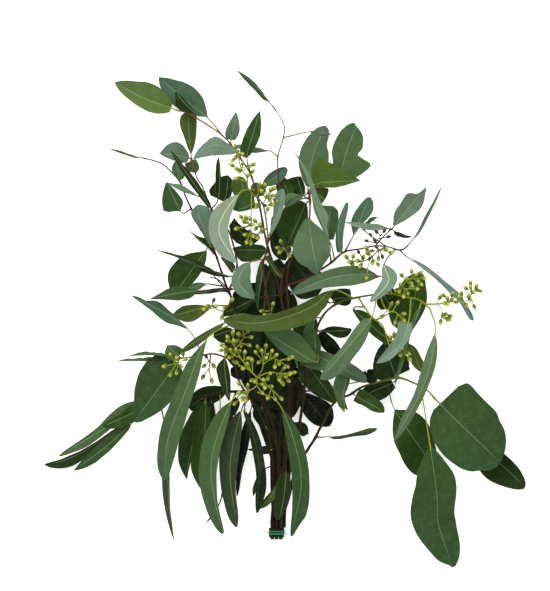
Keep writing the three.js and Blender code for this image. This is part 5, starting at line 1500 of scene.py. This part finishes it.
yellowBud = budMaterial()
setBuds = budNodes()
bud = budPrototype()
for name, spray in sprays.items():
    carriers = stemRoutes[spray["on"]]
    routes = routesOf(spray["stalks"], carriers)
    lines = []
    for (r0, r1, tone0, tone1, *_), route in zip(spray["stalks"], routes):
        lines.append(lineAlong(route, 0, 1, (r0, r1), (twigTone(tone0), twigTone(tone1))))
    joints = [(a, b) for route in routes for a, b in zip(route.points[1:], route.points)]
    centres, aims, ages = [], [], []
    for number, spot in enumerate(spray["buds"]):
        target = place(spot)
        joint, before = min(joints, key=lambda pair: math.hypot(*(pair[0] - target)[:2]))
        draw = (bunch["golden"] * number) % 1
        root = joint + (before - joint) * budLook["umbelLength"] * draw / np.linalg.norm(joint - before)
        target[2] = joint[2] + spray["rise"] + spray["spread"] * (2 * draw - 1)
        aim = unit((target - root) * (1, 1, budLook["flatness"]))
        foot = target - aim * budLook["length"] * budLook["seat"]
        line = Route([root, (root + foot) / 2, foot])
        radii = budLook["stalkRadius"], budLook["stalkRadius"]
        isDried = number in spray.get("dried", ())
        tones = [twigTone(tone) for tone in (("old", "old") if isDried else ("lime", "yellow"))]
        lines.append(lineAlong(line, 0, 1, radii, tones))
        ages.append(float(isDried))
        centres.append(target / 1000)
        aims.append(aim)
    twigsPiece("bud_stalks_" + name, lines, growTwigs, smoothBark, budLook["stalkSides"],
               "buds", "bud_spray_" + name)
    cloud = bpy.data.meshes.new("bud_places_" + name)
    cloud.from_pydata([centre.tolist() for centre in centres], [], [])
    putValues(cloud, "budAim", "FLOAT_VECTOR", aims)
    putValues(cloud, "budAge", "FLOAT", ages)
    values = {"Bud": bud, "Smallest": budLook["smallest"], "Largest": budLook["largest"],
              "Seed": budLook["seed"], "Skin": yellowBud}
    piece = grown("buds_" + name, cloud, setBuds, values)
    dressAs(piece, "buds", "bud_spray_" + name)
    print("buds of", name, len(spray["buds"]))
bpy.data.objects.remove(bud)


tieLook = {
    "down": 533.5,
    "openingHalfWidth": 6.7,
    "openingHalfHeight": 4.55,
    "cornerRadius": 2.35,
    "height": 7.2,
    "cornerSteps": 12,
    "bandThickness": 1.2,
    "bandTurns": 8,
    "bandLength": 9.5,
    "bandGap": 0.02,  # between a turn and the solid's faces
    "bandSteps": 48,
    "bandSides": 10,
    "strandClearance": 1.5,
    "strandThickness": 1.15,
    "strandOffsets": (-1.2, 1.3),
    "strandSway": 0.25,
    "strandSteps": 240,
    "plyTwists": 26,
    "plyOffset": 0.27,
    "plyRadius": 0.3,
    "plySides": 7,
    "bandColour": (17, 20, 16),
    "strandColour": (52, 158, 92),
    "bandRough": 0.5,
    "strandRough": 0.35,
    "bandGrain": 900.0,
    "strandGrain": 1600.0,
    "grainLimits": (0.4, 0.65),
    "grainFilter": (0.5, 0.5, 0.5),
    "grainStrength": 0.6,
    "grainRough": 0.2,
    "reliefDepth": 0.0002,
    "reliefStrength": 0.6,
    "shine": 0.15,
}


def roundedRing(grow, steps):  # points round the tie and the way out from it, starting under the bunch
    w, h = tieLook["openingHalfWidth"] + grow, tieLook["openingHalfHeight"] + grow
    r = tieLook["cornerRadius"] + grow
    pieces, outs = [], []
    corners = ((w - r, r - h, -90), (w - r, h - r, 0), (r - w, h - r, 90), (r - w, r - h, 180))
    for cx, cz, start in corners:
        for degrees in np.linspace(start, start + 90, steps):
            out = np.array([math.cos(math.radians(degrees)), 0, math.sin(math.radians(degrees))])
            pieces.append(np.array([cx, 0, cz]) + out * r)
            outs.append(out)
    return np.array(pieces), np.array(outs)


def evenRing(grow, count):
    points, outs = roundedRing(grow, tieLook["cornerSteps"])
    points, outs = np.vstack([points, points[:1]]), np.vstack([outs, outs[:1]])
    travel = np.concatenate([[0], np.cumsum(np.linalg.norm(np.diff(points, axis=0), axis=1))])
    at = np.linspace(0, travel[-1], count, endpoint=False)
    ring = np.stack([np.interp(at, travel, points[:, k]) for k in range(3)], axis=-1)
    out = unit(np.stack([np.interp(at, travel, outs[:, k]) for k in range(3)], axis=-1))
    return ring, out


def tieMaterial(name, colour, roughness, scale):
    look = tieLook
    material, g = newMaterial(name)
    grain = g.noise(scale, 3.0)
    dull = g.soft(grain, *look["grainLimits"]) * look["grainStrength"]
    shaded = g.dimmed(dull, tuple(screenColour(colour)), look["grainFilter"])
    g.coat(look, shaded, roughness + grain * look["grainRough"], grain)
    return material


tieCentre = place([bunch["middleStem"], tieLook["down"], tieLook["height"]])
bandRubber = tieMaterial(
    "darkBand", tieLook["bandColour"], tieLook["bandRough"], tieLook["bandGrain"])
greenStrand = tieMaterial(
    "greenStrand", tieLook["strandColour"], tieLook["strandRough"], tieLook["strandGrain"])

cordRadius = tieLook["bandThickness"] / 2 - tieLook["bandGap"]
ring, _ = evenRing(tieLook["bandThickness"] / 2, tieLook["bandSteps"])
turns = tieLook["bandTurns"]
pitch = (tieLook["bandLength"] - 2 * cordRadius) / (turns - 1)
lines = []
for turn in range(turns):
    lap = np.vstack([ring, ring[:1]])
    lap[:, 1] += (turn - (turns - 1) / 2) * pitch
    tones = np.tile(screenColour(tieLook["bandColour"]), (len(lap), 1))
    lines.append((lap + tieCentre, np.full(len(lap), cordRadius), tones))
twigsPiece("tie_turns", lines, growTwigs, bandRubber, tieLook["bandSides"], "band", "tie_band")

middle = tieLook["strandClearance"] + tieLook["strandThickness"] / 2
ring, out = evenRing(middle, tieLook["strandSteps"])
roundAngle = 2 * math.pi * np.arange(len(ring)) / len(ring)
for number, offset in enumerate(tieLook["strandOffsets"], 1):
    lines = []
    for ply in (0, math.pi):
        angle = tieLook["plyTwists"] * roundAngle + ply
        lap = ring + out * (tieLook["plyOffset"] * np.cos(angle))[:, None]
        sway = tieLook["strandSway"] * np.sin(2 * roundAngle)
        lap[:, 1] += tieLook["plyOffset"] * np.sin(angle) - offset + sway
        lap = np.vstack([lap, lap[:1]])
        tones = np.tile(screenColour(tieLook["strandColour"]), (len(lap), 1))
        lines.append((lap + tieCentre, np.full(len(lap), tieLook["plyRadius"]), tones))
    twigsPiece(f"twisted_strand_{number}", lines, growTwigs, greenStrand, tieLook["plySides"],
               "strand", f"green_strand_{number}")
print("tie wound")


studio = {
    "floorSize": 8.0,
    "floorDrop": 0.0004,
    "floorColour": (247, 247, 245),
    "floorGlow": 0.45,  # lifts the shadows on the floor, as a light table does
    "floorHaze": 0.04,
    "worldStrength": 0.8,
    "keyPower": 78.0,
    "keySize": 1.5,
    "keyPlace": (-0.8, 0.9, 2.6),
    "fillPower": 15.0,
    "fillSize": 1.6,
    "fillPlace": (1.6, -0.7, 2.0),
    "cameraHeight": 10.0,
    "scaleHeight": 0.05,  # the height over the surface where a millimetre is a pixel
    "pictureSpan": 0.591,
    "cameraAcross": -0.010,
    "cameraUp": 0.024,
    "sensorWidth": 36.0,
}

size = studio["floorSize"] / 2
floorMesh = bpy.data.meshes.new("floor")
low = -studio["floorDrop"]
floorMesh.from_pydata([(-size, -size, low), (size, -size, low), (size, size, low), (-size, size, low)],
                      [], [(0, 1, 2, 3)])
floorMaterial, g = newMaterial("paleFloor")
haze = g.noise(6.0, 2.0)
floorTone = tuple(screenColour(studio["floorColour"]))
g.finish({
    "Base Color": g.mixed(haze * studio["floorHaze"], floorTone, (0.8, 0.8, 0.8, 1)),
    "Roughness": 0.85 + haze * 0.1, "Specular IOR Level": 0.1,
    "Emission Color": (1.0, 1.0, 1.0, 1), "Emission Strength": studio["floorGlow"],
})
floorMesh.materials.append(floorMaterial)
floor = standing("floor", floorMesh)

world = bpy.data.worlds.new("studio")
world.use_nodes = True
sky = world.node_tree.nodes["Background"]
sky.inputs["Color"].default_value = (1.0, 1.0, 1.0, 1)
sky.inputs["Strength"].default_value = studio["worldStrength"]
bpy.context.scene.world = world


def softLight(name, power, size, spot):
    light = bpy.data.lights.new(name, "AREA")
    light.energy, light.size = power, size
    lamp = bpy.data.objects.new(name, light)
    lamp.location = spot
    lamp.rotation_euler = (-lamp.location).to_track_quat("-Z", "Y").to_euler()
    bpy.context.scene.collection.objects.link(lamp)


softLight("keyLight", studio["keyPower"], studio["keySize"], studio["keyPlace"])
softLight("fillLight", studio["fillPower"], studio["fillSize"], studio["fillPlace"])

camera = bpy.data.objects.new("camera", bpy.data.cameras.new("camera"))
camera.location = (studio["cameraAcross"], studio["cameraUp"], studio["cameraHeight"])
distance = studio["cameraHeight"] - studio["scaleHeight"]
camera.data.sensor_width = studio["sensorWidth"]
camera.data.lens = studio["sensorWidth"] * distance / studio["pictureSpan"]
camera.data.clip_end = 100.0
bpy.context.scene.collection.objects.link(camera)
bpy.context.scene.camera = camera
bpy.context.scene.view_settings.view_transform = "Standard"
print("studio set")

bpy.context.view_layer.update()
